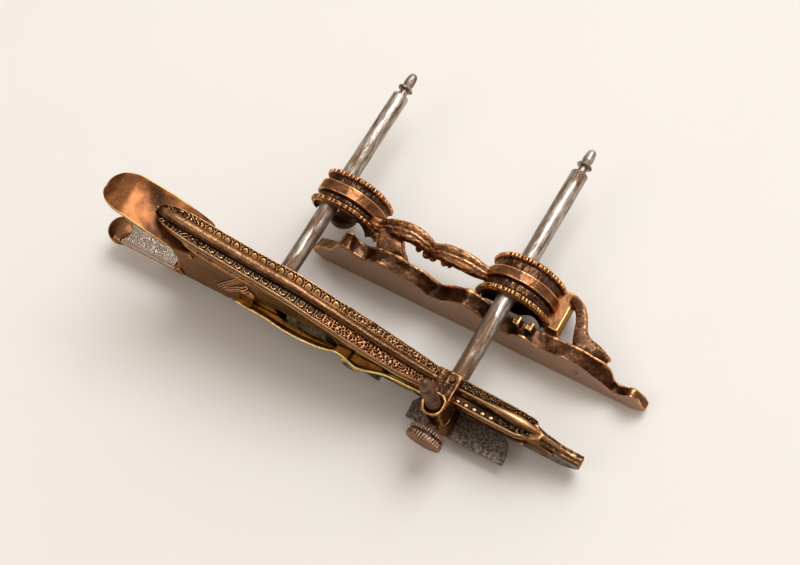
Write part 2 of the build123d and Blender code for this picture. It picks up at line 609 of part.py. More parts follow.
with BuildPart() as fence:
    with BuildSketch(Plane.XZ.offset(-FENCE_Y)):
        with BuildLine():
            crown = Spline(*PLATE_TOP)
            nose_end = Spline(crown @ 1, (163.0, 11.6), (166.0, 5.6), (162.5, 1.2), (154.0, 0.0))
            Line(nose_end @ 1, (-2.0, 0.0))
            Line((-2.0, 0.0), (-5.0, 3.0))
            Line((-5.0, 3.0), crown @ 0)
        make_face()
    extrude(amount=-FENCE_T)
    for cx, cz, r, y0, y1, near_rim, far_rim, lead in BOSSES:
        middle = (y0 + y1) / 2
        for first, last, radius in ((y0, y1, r), (y0, y0 + RIM_T, r + near_rim), (y1 - RIM_T, y1, r + far_rim),
                                    (middle - BAND_HALF, middle + BAND_HALF, r + BAND_GROW)):
            with BuildSketch(Plane.XZ.offset(-first)):
                with Locations((cx, cz)):
                    Circle(radius)
            extrude(amount=first - last)
    # lower half of both bosses is open: cut flat, then bored out to an arch
    for cx, cz, r, y0, y1, near_rim, far_rim, lead in BOSSES:
        with Locations((cx, (y0 + y1) / 2, cz - BOSS_CUT)):
            Box(2 * r + 8.0, y1 - y0 + 2.0, 2 * r + 8.0,
                align=(Align.CENTER, Align.CENTER, Align.MAX), mode=Mode.SUBTRACT)
        with BuildSketch(Plane.XZ.offset(1.0 - y0)):
            with Locations((lead, cz - BOSS_CUT)):
                Circle(ARCH_R)
        extrude(amount=y0 - y1 - 2.0, mode=Mode.SUBTRACT)
    # sleeves round the arms with the collars of the locking screws
    for x, boss in ((REAR_X, BOSSES[0]), (FRONT_X, BOSSES[1])):
        with BuildSketch(Plane.XZ.offset(-boss[3] - SLEEVE_INSET)):
            with Locations((x, ARM_Z)):
                Circle(SLEEVE_R)
        extrude(amount=boss[3] - boss[4] + 2 * SLEEVE_INSET)
        with Locations((x, SCREW_Y, ARM_Z)):
            Cylinder(SCREW_COLLAR_R, ARM_Z - SCREW_SEAT_Z, align=(Align.CENTER, Align.CENTER, Align.MAX))
    # squared lug on the nose end of the front boss
    with Locations((sum(LUG_X) / 2, (BOSSES[1][3] + BOSSES[1][4]) / 2, sum(LUG_Z) / 2)):
        Box(LUG_X[1] - LUG_X[0], BOSSES[1][4] - BOSSES[1][3], LUG_Z[1] - LUG_Z[0])
    # bridge between the bosses, swelling at its middle
    with BuildSketch(Plane.XZ.offset(-BRIDGE_Y[0])):
        with BuildLine():
            upper = Spline((14.0, 31.0), (28.0, 30.6), (38.0, 31.6), (48.0, 31.0), (55.0, 27.4), (61.0, 30.2),
                           (70.0, 31.0), (84.0, 29.0))
            lower = Spline((84.0, 17.5), (70.0, 15.0), (58.0, 13.4), (50.0, 11.5), (42.0, 13.5), (28.0, 16.0),
                           (14.0, 20.0))
            Line(upper @ 1, lower @ 0)
            Line(lower @ 1, upper @ 0)
        make_face()
    extrude(amount=BRIDGE_Y[0] - BRIDGE_Y[1])
    # legs from the plate to the bosses
    for stations in LEGS:
        for cx, cy, cz, lx, ly in stations:
            with BuildSketch(Plane.XY.offset(cz)):
                with Locations((cx, cy)):
                    RectangleRounded(lx, ly, min(lx, ly) * 0.3)
        loft()
    # bores for the arms and threads for the screws
    with BuildSketch(Plane.XZ.offset(-FENCE_Y + 1.0)):
        with Locations((REAR_X, ARM_Z), (FRONT_X, ARM_Z)):
            Circle(ARM_R + ARM_SLIDE_GAP)
    extrude(amount=-60.0, mode=Mode.SUBTRACT)
    for x in (REAR_X, FRONT_X):
        with Locations((x, SCREW_Y, KNOB_TOP_Z)):
            Cylinder(FENCE_SCREW_R + SIDE_GAP, ARM_Z - KNOB_TOP_Z,
                     align=(Align.CENTER, Align.CENTER, Align.MIN), mode=Mode.SUBTRACT)
save(fence, "fence")


for arm_x, screw_name in ((REAR_X, "rear_fence_screw"), (FRONT_X, "front_fence_screw")):
    with BuildPart() as fence_screw:
        with BuildSketch(Plane.XY.offset(KNOB_TOP_Z - KNOB_T)):
            with Locations((arm_x, SCREW_Y)):
                add(fence_disc)
        extrude(amount=KNOB_T)
        with Locations((arm_x, SCREW_Y, KNOB_TOP_Z)):
            Cylinder(FENCE_SCREW_R, ARM_Z - ARM_R - KNOB_TOP_Z, align=(Align.CENTER, Align.CENTER, Align.MIN))
    save(fence_screw, screw_name)
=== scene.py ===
import math

import bpy
import numpy as np
from mathutils import Matrix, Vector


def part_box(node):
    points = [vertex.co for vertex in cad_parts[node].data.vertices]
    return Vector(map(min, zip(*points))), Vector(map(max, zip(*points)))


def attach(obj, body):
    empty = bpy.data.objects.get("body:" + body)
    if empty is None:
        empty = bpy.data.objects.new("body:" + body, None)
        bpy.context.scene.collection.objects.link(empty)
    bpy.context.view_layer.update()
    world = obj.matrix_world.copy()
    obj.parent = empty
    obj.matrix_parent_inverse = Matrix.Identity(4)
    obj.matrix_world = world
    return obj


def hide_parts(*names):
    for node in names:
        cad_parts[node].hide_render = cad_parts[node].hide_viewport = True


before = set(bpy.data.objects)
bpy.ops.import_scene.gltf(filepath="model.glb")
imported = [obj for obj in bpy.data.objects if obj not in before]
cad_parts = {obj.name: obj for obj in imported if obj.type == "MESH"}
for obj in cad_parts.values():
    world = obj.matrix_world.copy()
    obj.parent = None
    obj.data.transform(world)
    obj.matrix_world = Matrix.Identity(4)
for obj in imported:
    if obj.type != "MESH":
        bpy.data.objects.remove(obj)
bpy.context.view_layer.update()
MM = 0.001


def middle(node):
    """Middle of a CAD node's box in mm, to a tenth."""
    lo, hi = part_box(node)
    return np.round((np.array(lo) + np.array(hi)) / (2 * MM), 1)


# every x, y and z below is in mm in the row frame: X along the tool, Y from the stock to the fence, Z up
REAR_ARM_X, _, ARM_Z = middle("rear_arm")
FRONT_ARM_X = middle("front_arm")[0]
POST_X, POST_Y, _ = middle("depth_stop_post")
KNOB_X, _, KNOB_Z = middle("depth_stop_screw")
SCREW_X, _, SCREW_Z = middle("clamp_screw")


# ---------------------------------------------------------------- numbers
def lattice(i, j, k, seed):
    """Repeatable value in 0..1 for each whole-number point."""
    h = (i * 374761393 + j * 668265263 + k * 1440662683 + seed * 974711) & 0xFFFFFFFF
    h = ((h ^ (h >> 13)) * 1274126177) & 0xFFFFFFFF
    return ((h ^ (h >> 16)) & 0xFFFF) / 65535.0


def noise(p, scale, seed=0):
    """Smooth value noise in -1..1 with features of the given size."""
    q = p / scale
    cell = np.floor(q).astype(np.int64)
    f = q - cell
    f = f * f * (3.0 - 2.0 * f)
    total = np.zeros(len(p))
    for dx in (0, 1):
        for dy in (0, 1):
            for dz in (0, 1):
                w = (f[:, 0] if dx else 1 - f[:, 0]) * (f[:, 1] if dy else 1 - f[:, 1])
                w = w * (f[:, 2] if dz else 1 - f[:, 2])
                total += w * lattice(cell[:, 0] + dx, cell[:, 1] + dy, cell[:, 2] + dz, seed)
    return total * 2.0 - 1.0


def flat_noise(x, y, scale, seed):
    """Noise over tables of x and y."""
    return noise(np.stack([x.ravel(), y.ravel(), 0 * y.ravel()], 1), scale, seed).reshape(x.shape)


def pit_distance(u, v, pitch, seed):
    """Distance to the nearest point of a jittered grid."""
    iu, iv = np.floor(u / pitch).astype(np.int64), np.floor(v / pitch).astype(np.int64)
    best = np.full(u.shape, 99.0)
    for du in (-1, 0, 1):
        for dv in (-1, 0, 1):
            a, b = iu + du, iv + dv
            cu = (a + 0.5 + 0.75 * (lattice(a, b, a * 0, seed) - 0.5)) * pitch
            cv = (b + 0.5 + 0.75 * (lattice(a, b, a * 0 + 5, seed) - 0.5)) * pitch
            best = np.minimum(best, np.hypot(u - cu, v - cv))
    return best


def step(x, lo, hi):
    """Smooth ramp from 0 at lo to 1 at hi."""
    t = np.clip((x - lo) / (hi - lo), 0.0, 1.0)
    return t * t * (3.0 - 2.0 * t)


def curve(x, points):
    """Smooth curve through (x, value) points, monotone cubic between them."""
    px = np.array([p[0] for p in points], float)
    py = np.array([p[1] for p in points], float)
    x = np.clip(x, px[0], px[-1])
    h = np.diff(px)
    d = np.diff(py) / h
    m = np.empty(len(px))
    m[0], m[-1] = d[0], d[-1]
    m[1:-1] = np.where(d[:-1] * d[1:] > 0, 2 * d[:-1] * d[1:] / (d[:-1] + d[1:] + 1e-12), 0.0)
    i = np.clip(np.searchsorted(px, x, side="right") - 1, 0, len(h) - 1)
    t = (x - px[i]) / h[i]
    return (
        (2 * t**3 - 3 * t**2 + 1) * py[i]
        + (t**3 - 2 * t**2 + t) * h[i] * m[i]
        + (3 * t**2 - 2 * t**3) * py[i + 1]
        + (t**3 - t**2) * h[i] * m[i + 1]
    )


# ---------------------------------------------------------------- meshes as (points in mm, faces)
def grid(rings):
    """Faces over a table of points (rows, columns, 3) whose rows are closed rings, with both ends capped."""
    rows, columns = rings.shape[:2]
    ids = np.arange(rows * columns).reshape(rows, columns)
    faces = []
    for a, b in zip(ids[:-1], ids[1:]):
        faces.extend(np.stack([a, np.roll(a, -1), np.roll(b, -1), b], 1).tolist())
    faces.append(ids[0][::-1].tolist())
    faces.append(ids[-1].tolist())
    return rings.reshape(-1, 3), faces


def wrapped(top, far_side, near_side, below):
    """Rings made of a top, the sides that hang from its two ends, and some points across underneath."""
    t = np.linspace(0, 1, below + 2)[1:-1][None, :, None]
    under = far_side[:, -1][:, None] * (1 - t) + near_side[:, -1][:, None] * t
    return np.concatenate([top, far_side, under, near_side[:, ::-1]], 1)


def padded(values, columns, rest=0.0):
    """Values of the top's points, with one value for the other points of each ring."""
    return np.concatenate([values, np.full((len(values), columns - values.shape[1]), rest)], 1)


def lathe(profile, centre, n):
    """Solid of revolution about Y; profile is (radius, distance along Y) points."""
    turn = np.linspace(0, 2 * np.pi, n, endpoint=False)
    rows = [np.stack([r * np.cos(turn), 0 * turn + a, -r * np.sin(turn)], 1) for r, a in profile]
    return grid(np.array(rows) + np.array(centre))


def sweep(path, radii, n, shape):
    """Bar along a path; radii are (across, upwards) per point; shape(angle, share) scales the ring."""
    path = np.array(path, float)
    tangent = np.gradient(path, axis=0)
    tangent /= np.linalg.norm(tangent, axis=1)[:, None]
    ang = np.linspace(0, 2 * np.pi, n, endpoint=False)
    rows = []
    for i, (c, t) in enumerate(zip(path, tangent)):
        a = np.cross(t, (0.0, 0.0, 1.0))
        a /= np.linalg.norm(a)
        b = np.cross(a, t)
        k = shape(ang, i / (len(path) - 1))
        ra, rb = radii[i]
        rows.append(c + np.outer(k * ra * np.cos(ang), a) + np.outer(k * rb * np.sin(ang), b))
    return grid(np.array(rows))


def through(points, n):
    """n points on a smooth path through a few points, with any further columns."""
    p = np.array(points, float)
    s = np.concatenate([[0], np.cumsum(np.linalg.norm(np.diff(p[:, :3], axis=0), axis=1))])
    t = np.linspace(0, s[-1], n)
    return np.stack([curve(t, list(zip(s, p[:, k]))) for k in range(p.shape[1])], 1)


def join(parts):
    """Several meshes as one."""
    verts, faces, base = [], [], 0
    for v, f in parts:
        verts.append(v)
        faces.extend([[i + base for i in face] for face in f])
        base += len(v)
    return np.concatenate(verts), faces


def pull(items, key, width=1, kind=np.float32):
    """One property of every item of a Blender collection, as an array."""
    values = np.empty(len(items) * width, kind)
    items.foreach_get(key, values)
    return values.reshape(-1, width) if width > 1 else values


def placed(name, data):
    """A new object in the scene."""
    ob = bpy.data.objects.new(name, data)
    bpy.context.scene.collection.objects.link(ob)
    return ob


def scratch_object(name, verts, faces):
    """An object that only lives until drop() removes it."""
    me = bpy.data.meshes.new(name)
    me.from_pydata(verts.tolist(), [], faces)
    return placed(name, me)


def modified(ob):
    """A mesh with the modifiers of an object applied."""
    return bpy.data.meshes.new_from_object(ob.evaluated_get(bpy.context.evaluated_depsgraph_get()))


def drop(*objects):
    for ob in objects:
        me = ob.data
        bpy.data.objects.remove(ob)
        bpy.data.meshes.remove(me)


def cad_mesh(node):
    """A copy of a CAD node's points in mm, and its triangles."""
    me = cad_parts[node].data
    me.calc_loop_triangles()
    tri = pull(me.loop_triangles, "vertices", 3, np.int32)
    return pull(me.vertices, "co", 3).astype(float) / MM, tri.tolist()


def skin(parts, voxel):
    """One closed skin round overlapping closed solids, as points in mm and quads."""
    ob = scratch_object("skin", *join(parts))
    mod = ob.modifiers.new("v", "REMESH")
    mod.mode = "VOXEL"
    mod.voxel_size = voxel
    mod.adaptivity = 0.0
    out = modified(ob)
    co = pull(out.vertices, "co", 3)
    loops = pull(out.loops, "vertex_index", 1, np.int32)
    start = pull(out.polygons, "loop_start", 1, np.int32)
    total = pull(out.polygons, "loop_total", 1, np.int32)
    quads = loops[start[total == 4][:, None] + np.arange(4)]
    drop(ob)
    bpy.data.meshes.remove(out)
    return co.astype(float), quads


def edges_of(faces):
    """Each edge once, as pairs of point numbers; faces are an array, or lists of any length."""
    if isinstance(faces, np.ndarray):
        sides = faces.shape[1]
        e = np.concatenate([faces[:, [i, (i + 1) % sides]] for i in range(sides)])
    else:
        e = np.array([pair for f in faces for pair in zip(f, f[1:] + f[:1])])
    return np.unique(np.sort(e, axis=1), axis=0)


def mean_of_neighbours(v, e, count):
    out = np.empty_like(v)
    for k in range(v.shape[1]):
        s = np.bincount(e[:, 0], v[e[:, 1], k], len(v)) + np.bincount(e[:, 1], v[e[:, 0], k], len(v))
        out[:, k] = s / count
    return out


def relax(v, e, rounds, keep_volume=True):
    """Smooths a mesh, by default without shrinking it."""
    count = np.maximum(np.bincount(e.ravel(), minlength=len(v)), 1)
    v = v.copy()
    for _ in range(rounds):
        v += 0.5 * (mean_of_neighbours(v, e, count) - v)
        if keep_volume:
            v -= 0.52 * (mean_of_neighbours(v, e, count) - v)
    return v


def normals(v, quads):
    """Direction out of the surface at each point."""
    d = np.cross(v[quads[:, 2]] - v[quads[:, 0]], v[quads[:, 3]] - v[quads[:, 1]])
    n = np.zeros_like(v)
    for k in range(3):
        for c in range(4):
            n[:, k] += np.bincount(quads[:, c], d[:, k], len(v))
    return n / np.maximum(np.linalg.norm(n, axis=1), 1e-9)[:, None]


def relief_fields(v, faces):
    """How far each point stands out of its surroundings, close by and widely, in mm."""
    if isinstance(faces, np.ndarray):
        quads = faces[:, [0, 1, 2, faces.shape[1] - 1]]
    else:
        quads = np.array([f if len(f) == 4 else [f[0], f[1], f[2], f[2]] for f in faces if len(f) in (3, 4)])
    e = edges_of(faces)
    n = normals(v, quads)
    near = relax(v, e, 5, keep_volume=False)
    far = relax(near, e, 26, keep_volume=False)
    return {"fine": ((v - near) * n).sum(1), "wide": ((v - far) * n).sum(1)}


def add(name, mesh, material, body, replaces=(), slot=None, **fields):
    """Makes a piece from a mesh in mm, riding on a body; fields are what its material reads at each point."""
    v, faces = mesh
    me = bpy.data.meshes.new(name)
    me.from_pydata((v * MM).tolist(), [], faces.tolist() if isinstance(faces, np.ndarray) else faces)
    me.shade_smooth()
    for key, values in {**relief_fields(v, faces), **fields}.items():
        me.attributes.new(key, "FLOAT", "POINT").data.foreach_set("value", values.astype(np.float32))
    me.materials.append(material)
    ob = placed(name, me)
    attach(ob, body)
    if replaces:
        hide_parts(*replaces)


# ---------------------------------------------------------------- materials
class Nodes:
    """Small builder of node trees."""

    def __init__(self, tree):
        self.t = tree
        self.place = self.node("TexCoord").outputs

    def node(self, kind):
        return self.t.nodes.new("ShaderNode" + kind)

    def plug(self, socket, value):
        if hasattr(value, "is_linked"):
            self.t.links.new(value, socket)
        else:
            socket.default_value = value

    def noise(self, size_mm, detail=3.0, rough=0.55, stretch=None):
        n = self.node("TexNoise")
        for key, value in (("Scale", 1.0 / (size_mm * MM)), ("Detail", detail), ("Roughness", rough)):
            n.inputs[key].default_value = value
        src = self.place["Object"]
        if stretch:
            m = self.node("Mapping")
            m.inputs["Scale"].default_value = stretch
            self.plug(m.inputs["Vector"], src)
            src = m.outputs["Vector"]
        self.plug(n.inputs["Vector"], src)
        return n.outputs["Fac"]

    def field(self, name):
        n = self.node("Attribute")
        n.attribute_name = name
        return n.outputs["Fac"]

    def calc(self, op, a, b=0.0, c=None):
        n = self.node("Math")
        n.operation = op
        self.plug(n.inputs[0], a)
        self.plug(n.inputs[1], b)
        if c is not None:
            self.plug(n.inputs[2], c)
        return n.outputs[0]

    def times(self, a, b, plus=0.0):
        return self.calc("MULTIPLY_ADD", a, b, plus)

    def band(self, value, lo, hi, out_lo=0.0, out_hi=1.0):
        n = self.node("MapRange")
        n.interpolation_type = "SMOOTHSTEP"
        self.plug(n.inputs["Value"], value)
        for key, limit in zip(("From Min", "From Max", "To Min", "To Max"), (lo, hi, out_lo, out_hi)):
            n.inputs[key].default_value = limit
        return n.outputs["Result"]

    def mix(self, fac, a, b):
        n = self.node("Mix")
        n.data_type = "RGBA"
        self.plug(n.inputs[0], fac)
        self.plug(n.inputs[6], a if hasattr(a, "is_linked") else (*a, 1.0))
        self.plug(n.inputs[7], b if hasattr(b, "is_linked") else (*b, 1.0))
        return n.outputs[2]


class Shader(Nodes):
    """Material with one Principled BSDF."""

    def __init__(self, name):
        self.mat = bpy.data.materials.new(name)
        self.mat.use_nodes = True
        super().__init__(self.mat.node_tree)
        self.bsdf = self.t.nodes["Principled BSDF"]

    def bump(self, height, depth_mm):
        n = self.node("Bump")
        n.inputs["Strength"].default_value = 1.0
        n.inputs["Distance"].default_value = depth_mm * MM
        self.plug(n.inputs["Height"], height)
        self.plug(self.bsdf.inputs["Normal"], n.outputs["Normal"])

    def out(self, color, metallic, rough):
        self.plug(self.bsdf.inputs["Base Color"], color)
        self.plug(self.bsdf.inputs["Metallic"], metallic)
        self.plug(self.bsdf.inputs["Roughness"], rough)
        return self.mat


def casting(name, dark, mid, warm, bright, recess, fine_k=0.05, wide_k=0.35, shine=0.34, scratch=0.05,
            gold=None, flat=(0.43, 0.265, 0.18), glint=(1, 0.76, 0.58)):
    """Cast copper alloy: dark in its hollows, as patina deepened by painted shade, rubbed bright on its
    edges.

    fine_k and wide_k are the relief in mm at which an edge is fully bright. Per point, "paint" adds or takes
    wear and carries painted shade and painted highlights, "gild" turns the bright colour into gold, "rim"
    forces it, which paints the highlights on rims and crests, and "plain" gives the flat worn face.
    """
    s = Shader(name)
    blotch = s.noise(7.0, 4.0, 0.6)
    small = s.noise(1.1, 4.0, 0.6)
    grain = s.noise(0.25, 2.0, 0.5)
    rub_and_painted_light = s.field("paint")
    tone = s.times(small, 0.45, s.times(blotch, 0.75))
    tone = s.times(rub_and_painted_light, 0.16, tone)
    color = s.mix(s.band(tone, 0.38, 0.62), dark, mid)
    color = s.mix(s.band(tone, 0.58, 0.82), color, warm)
    # negative paint pulls the colour towards the recess colour: patina, and painted shade on parts that lie
    # in shade
    color = s.mix(s.band(rub_and_painted_light, -0.05, -1.1, 0.0, 0.8), color, recess)
    fine = s.times(s.calc("SUBTRACT", small, 0.5), fine_k * 0.6, s.field("fine"))
    wide = s.field("wide")
    edge = s.band(fine, fine_k * 0.25, fine_k * 1.3)
    high = s.band(wide, wide_k * 0.2, wide_k)
    wear = s.calc("MAXIMUM", edge, s.times(high, 0.75))
    wear = s.times(wear, s.band(rub_and_painted_light, -1.0, 0.0))
    pit = s.band(fine, -fine_k * 0.25, -fine_k * 1.3)
    hollow = s.calc("MAXIMUM", pit, s.band(wide, -wide_k * 0.25, -wide_k))
    shown = bright if gold is None else s.mix(s.field("gild"), bright, gold)
    color = s.mix(s.times(wear, 0.9), color, shown)
    # the rim field paints a highlight in the bright colour
    color = s.mix(s.band(s.field("rim"), 0.2, 0.8), color, shown)
    # hollows take the recess colour: dark patina, deepened as painted shade
    color = s.mix(s.times(hollow, 0.93), color, recess)
    smooth = s.field("plain")
    color = s.mix(smooth, color, s.mix(s.band(small, 0.3, 0.7), tuple(0.85 * c for c in flat), flat))
    rough = s.times(hollow, 0.35, s.times(wear, -0.08, shine))
    rough = s.times(s.calc("SUBTRACT", small, 0.5), 0.25, rough)
    metal = s.times(smooth, -0.6, s.times(hollow, -0.4, 1.0))
    s.bump(s.times(grain, 0.5, small), scratch)
    s.bsdf.inputs["Specular Tint"].default_value = (*glint, 1.0)
    return s.out(color, metal, rough)


def steel(name, light, dark, stain, stain_at=0.5, shine=0.3, along=None, pit=0.03, sizes=(1.6, 3.5, 0.45),
          near=None):
    """Worn steel with brown patina and small pits; near is the stretch of Y, in mm, where the brown fades."""
    s = Shader(name)
    streak = s.noise(sizes[0], 4.0, 0.6, along)
    spot = s.noise(sizes[1], 5.0, 0.65, along)
    fleck = s.noise(sizes[2], 3.0, 0.6)
    if near:
        split = s.node("SeparateXYZ")
        s.plug(split.inputs[0], s.place["Object"])
        spot = s.times(s.band(split.outputs[1], near[1] * MM, near[0] * MM), 0.10, spot)
    color = s.mix(s.band(streak, 0.35, 0.65), dark, light)
    brown = s.band(s.times(fleck, 0.35, spot), stain_at + 0.12, stain_at + 0.3)
    color = s.mix(brown, color, stain)
    hole = s.band(fleck, 0.40, 0.32)
    color = s.mix(s.times(hole, 0.7), color, (0.03, 0.022, 0.018))
    rough = s.times(brown, 0.25, s.times(streak, 0.2, shine))
    s.bump(s.calc("SUBTRACT", streak, s.times(hole, 0.8)), pit)
    s.bsdf.inputs["Specular Tint"].default_value = (1.0, 0.88, 0.76, 1.0)
    return s.out(color, s.times(brown, -0.3, 1.0), rough)


# casting: dark, mid and warm body colours, worn bright, recess; steel: light, dark, stain
BRONZE = casting(
    "antique_bronze", (0.026, 0.015, 0.010), (0.12, 0.062, 0.033), (0.26, 0.14, 0.068), (0.92, 0.58, 0.29),
    (0.006, 0.005, 0.005), fine_k=0.06, shine=0.32, gold=(0.82, 0.36, 0.15),
)
BODY = casting(
    "brown_bronze", (0.050, 0.024, 0.014), (0.135, 0.060, 0.028), (0.23, 0.105, 0.045), (0.70, 0.36, 0.15),
    (0.008, 0.006, 0.005), fine_k=0.06, wide_k=0.5, shine=0.34,
)
# the horn's gold is the colour of the painted highlight along its rim
HORN = casting(
    "rubbed_bronze", (0.075, 0.032, 0.017), (0.20, 0.078, 0.031), (0.32, 0.13, 0.05), (0.36, 0.165, 0.07),
    (0.05, 0.028, 0.017), fine_k=0.08, wide_k=0.9, shine=0.36, scratch=0.02, gold=(0.95, 0.60, 0.20),
)
COPPER = casting(
    "antique_copper", (0.032, 0.020, 0.016), (0.115, 0.056, 0.032), (0.27, 0.12, 0.053), (0.90, 0.44, 0.19),
    (0.007, 0.005, 0.005), fine_k=0.07, wide_k=0.8, shine=0.36, gold=(0.80, 0.46, 0.15),
)
DARK = casting(
    "dark_bronze", (0.09, 0.05, 0.035), (0.17, 0.095, 0.065), (0.25, 0.14, 0.09), (0.48, 0.28, 0.16),
    (0.02, 0.014, 0.011), shine=0.42,
)
KNOB = casting(
    "browned_knob", (0.10, 0.058, 0.044), (0.20, 0.12, 0.09), (0.28, 0.165, 0.12), (0.46, 0.29, 0.21),
    (0.018, 0.012, 0.010), fine_k=0.05, shine=0.46,
)
BRASS = casting(
    "polished_brass", (0.26, 0.17, 0.058), (0.48, 0.335, 0.12), (0.72, 0.51, 0.185), (1.0, 0.80, 0.36),
    (0.040, 0.026, 0.010), fine_k=0.10, wide_k=1.6, shine=0.17, scratch=0.012, glint=(1.0, 0.9, 0.66),
)
ARM = steel(
    "arm_steel", (0.60, 0.565, 0.52), (0.30, 0.265, 0.23), (0.17, 0.095, 0.055), shine=0.26,
    along=(1.0, 0.16, 1.0), pit=0.08, sizes=(1.1, 2.4, 0.35), near=(8.0, 46.0),
)
ENGRAVED = casting(
    "silvered_plate", (0.19, 0.145, 0.115), (0.31, 0.25, 0.205), (0.42, 0.35, 0.29), (0.66, 0.58, 0.50),
    (0.03, 0.022, 0.018), fine_k=0.045, wide_k=0.5, shine=0.34,
)
POST = steel("browned_steel", (0.27, 0.155, 0.10), (0.15, 0.085, 0.055), (0.09, 0.05, 0.034), shine=0.42)
PLATE = steel(
    "grey_steel", (0.42, 0.39, 0.35), (0.22, 0.20, 0.175), (0.14, 0.10, 0.075), stain_at=0.55, shine=0.4,
    pit=0.05,
)
SPECKLE = steel(
    "pitted_steel", (0.36, 0.32, 0.28), (0.17, 0.14, 0.115), (0.12, 0.085, 0.062), shine=0.45, pit=0.10,
    sizes=(0.7, 1.3, 0.35),
)


# ---------------------------------------------------------------- crest rail
# along X: height of the crest, half widths of its near and far side, place and half width of the rib
CREST = [(-44.5, 76), (-40, 78), (-20, 74), (0, 69.5), (20, 65.5), (40, 59), (62, 48.5), (87, 36.5)]
NEAR = [(-45.5, 0.6), (-44.5, 2.6), (-41, 4.6), (-36, 5.9), (-26, 6.7), (0, 7), (20, 7.5), (35, 8.2),
        (55, 8.6), (71, 7.9), (82, 6.4), (88, 5.4)]
FAR = [(-45.5, 0.6), (-44.5, 2.2), (-41, 3.7), (-36, 4.6), (-26, 5.2), (-10, 5), (8, 5), (20, 5.4), (43, 4.8),
       (60, 5), (76, 4.8), (88, 4.2)]
RIB_Y = [(-45.5, 0), (-30, -0.4), (0, -0.6), (24, -0.7), (36, -1.2), (60, -1.4), (76, -1.1), (88, -0.6)]
RIB_HALF = [(-45.5, 1), (-40, 1.9), (-30, 2.3), (-10, 2.2), (10, 2.2), (28, 1.9), (42, 1.6), (60, 1.4),
            (88, 1.3)]
# moulding of the rail's sides: (share of the way down, how far in)
SIDE = [(0, 0), (0.12, 0.15), (0.22, 0.75), (0.32, 0.75), (0.42, 0.15), (0.55, 0.2), (0.66, 0.9), (1, 2)]
SIDE_DEPTH = 9.5
CUP_PITCH = 4.35
FAR_CUPS, NEAR_CUPS = (-25, 44), (-19.5, 38)


def ring_of(r, at, width):
    """Soft band round a radius."""
    return np.exp(-(((r - at) / width) ** 2))


def scrolls(x, y, a):
    """Height of a winding scroll, a being the distance from the rib's middle."""
    bend = np.sin(2.1 * (x + 1.5 * np.sin(1.3 * a + 0.4 * x)))
    fold = np.cos(1.7 * a + 0.9 * np.sin(0.9 * x))
    return 0.6 * bend * fold + 0.35 * flat_noise(x, y, 0.9, 3)


def stippled(x, y):
    """Height of a pitted ground."""
    d = pit_distance(x, y * 1.05, 1.3, 11)
    return 0.35 - 1.05 * np.clip(1 - (d / 0.52) ** 2, 0, 1) + 0.2 * flat_noise(x, y, 1.1, 9)


def scalloped(x, inward, far):
    """Height of the rows of cups, and the share of the painted crescent highlight in each near cup."""
    u = (x / CUP_PITCH + np.where(far, 0.25, 0.0)) % 1.0 * CUP_PITCH - CUP_PITCH / 2
    centre = np.where(far, 1.75, 1.5)
    r = np.hypot(u, np.where(inward < centre, centre - inward, (inward - centre) * 0.4))
    dome = 0.75 * np.clip(1 - (r / 1.45) ** 2, 0, 1) ** 0.4
    groove = -0.95 * ring_of(r, 1.68, 0.22)
    arch = 0.5 * ring_of(r, 2.12, 0.17) * (inward < centre + 0.8)
    # a raised ring in each near cup; its lower part also carries a painted highlight
    crescent = ring_of(r, 1.1, 0.36) * step(centre - inward, -0.3, 0.4)
    height = np.where(far, dome + groove + arch, 0.8 * crescent + 0.6 * groove) - 0.3 * step(r, 2, 2.4)
    return height, crescent * ~far


def rail_of(rings, **fields):
    """Mesh of a rail's rings with its fields, given as (values on top, value of the rest)."""
    columns = rings.shape[1]
    return grid(rings[::-1]), {k: padded(v, columns, rest)[::-1].ravel() for k, (v, rest) in fields.items()}


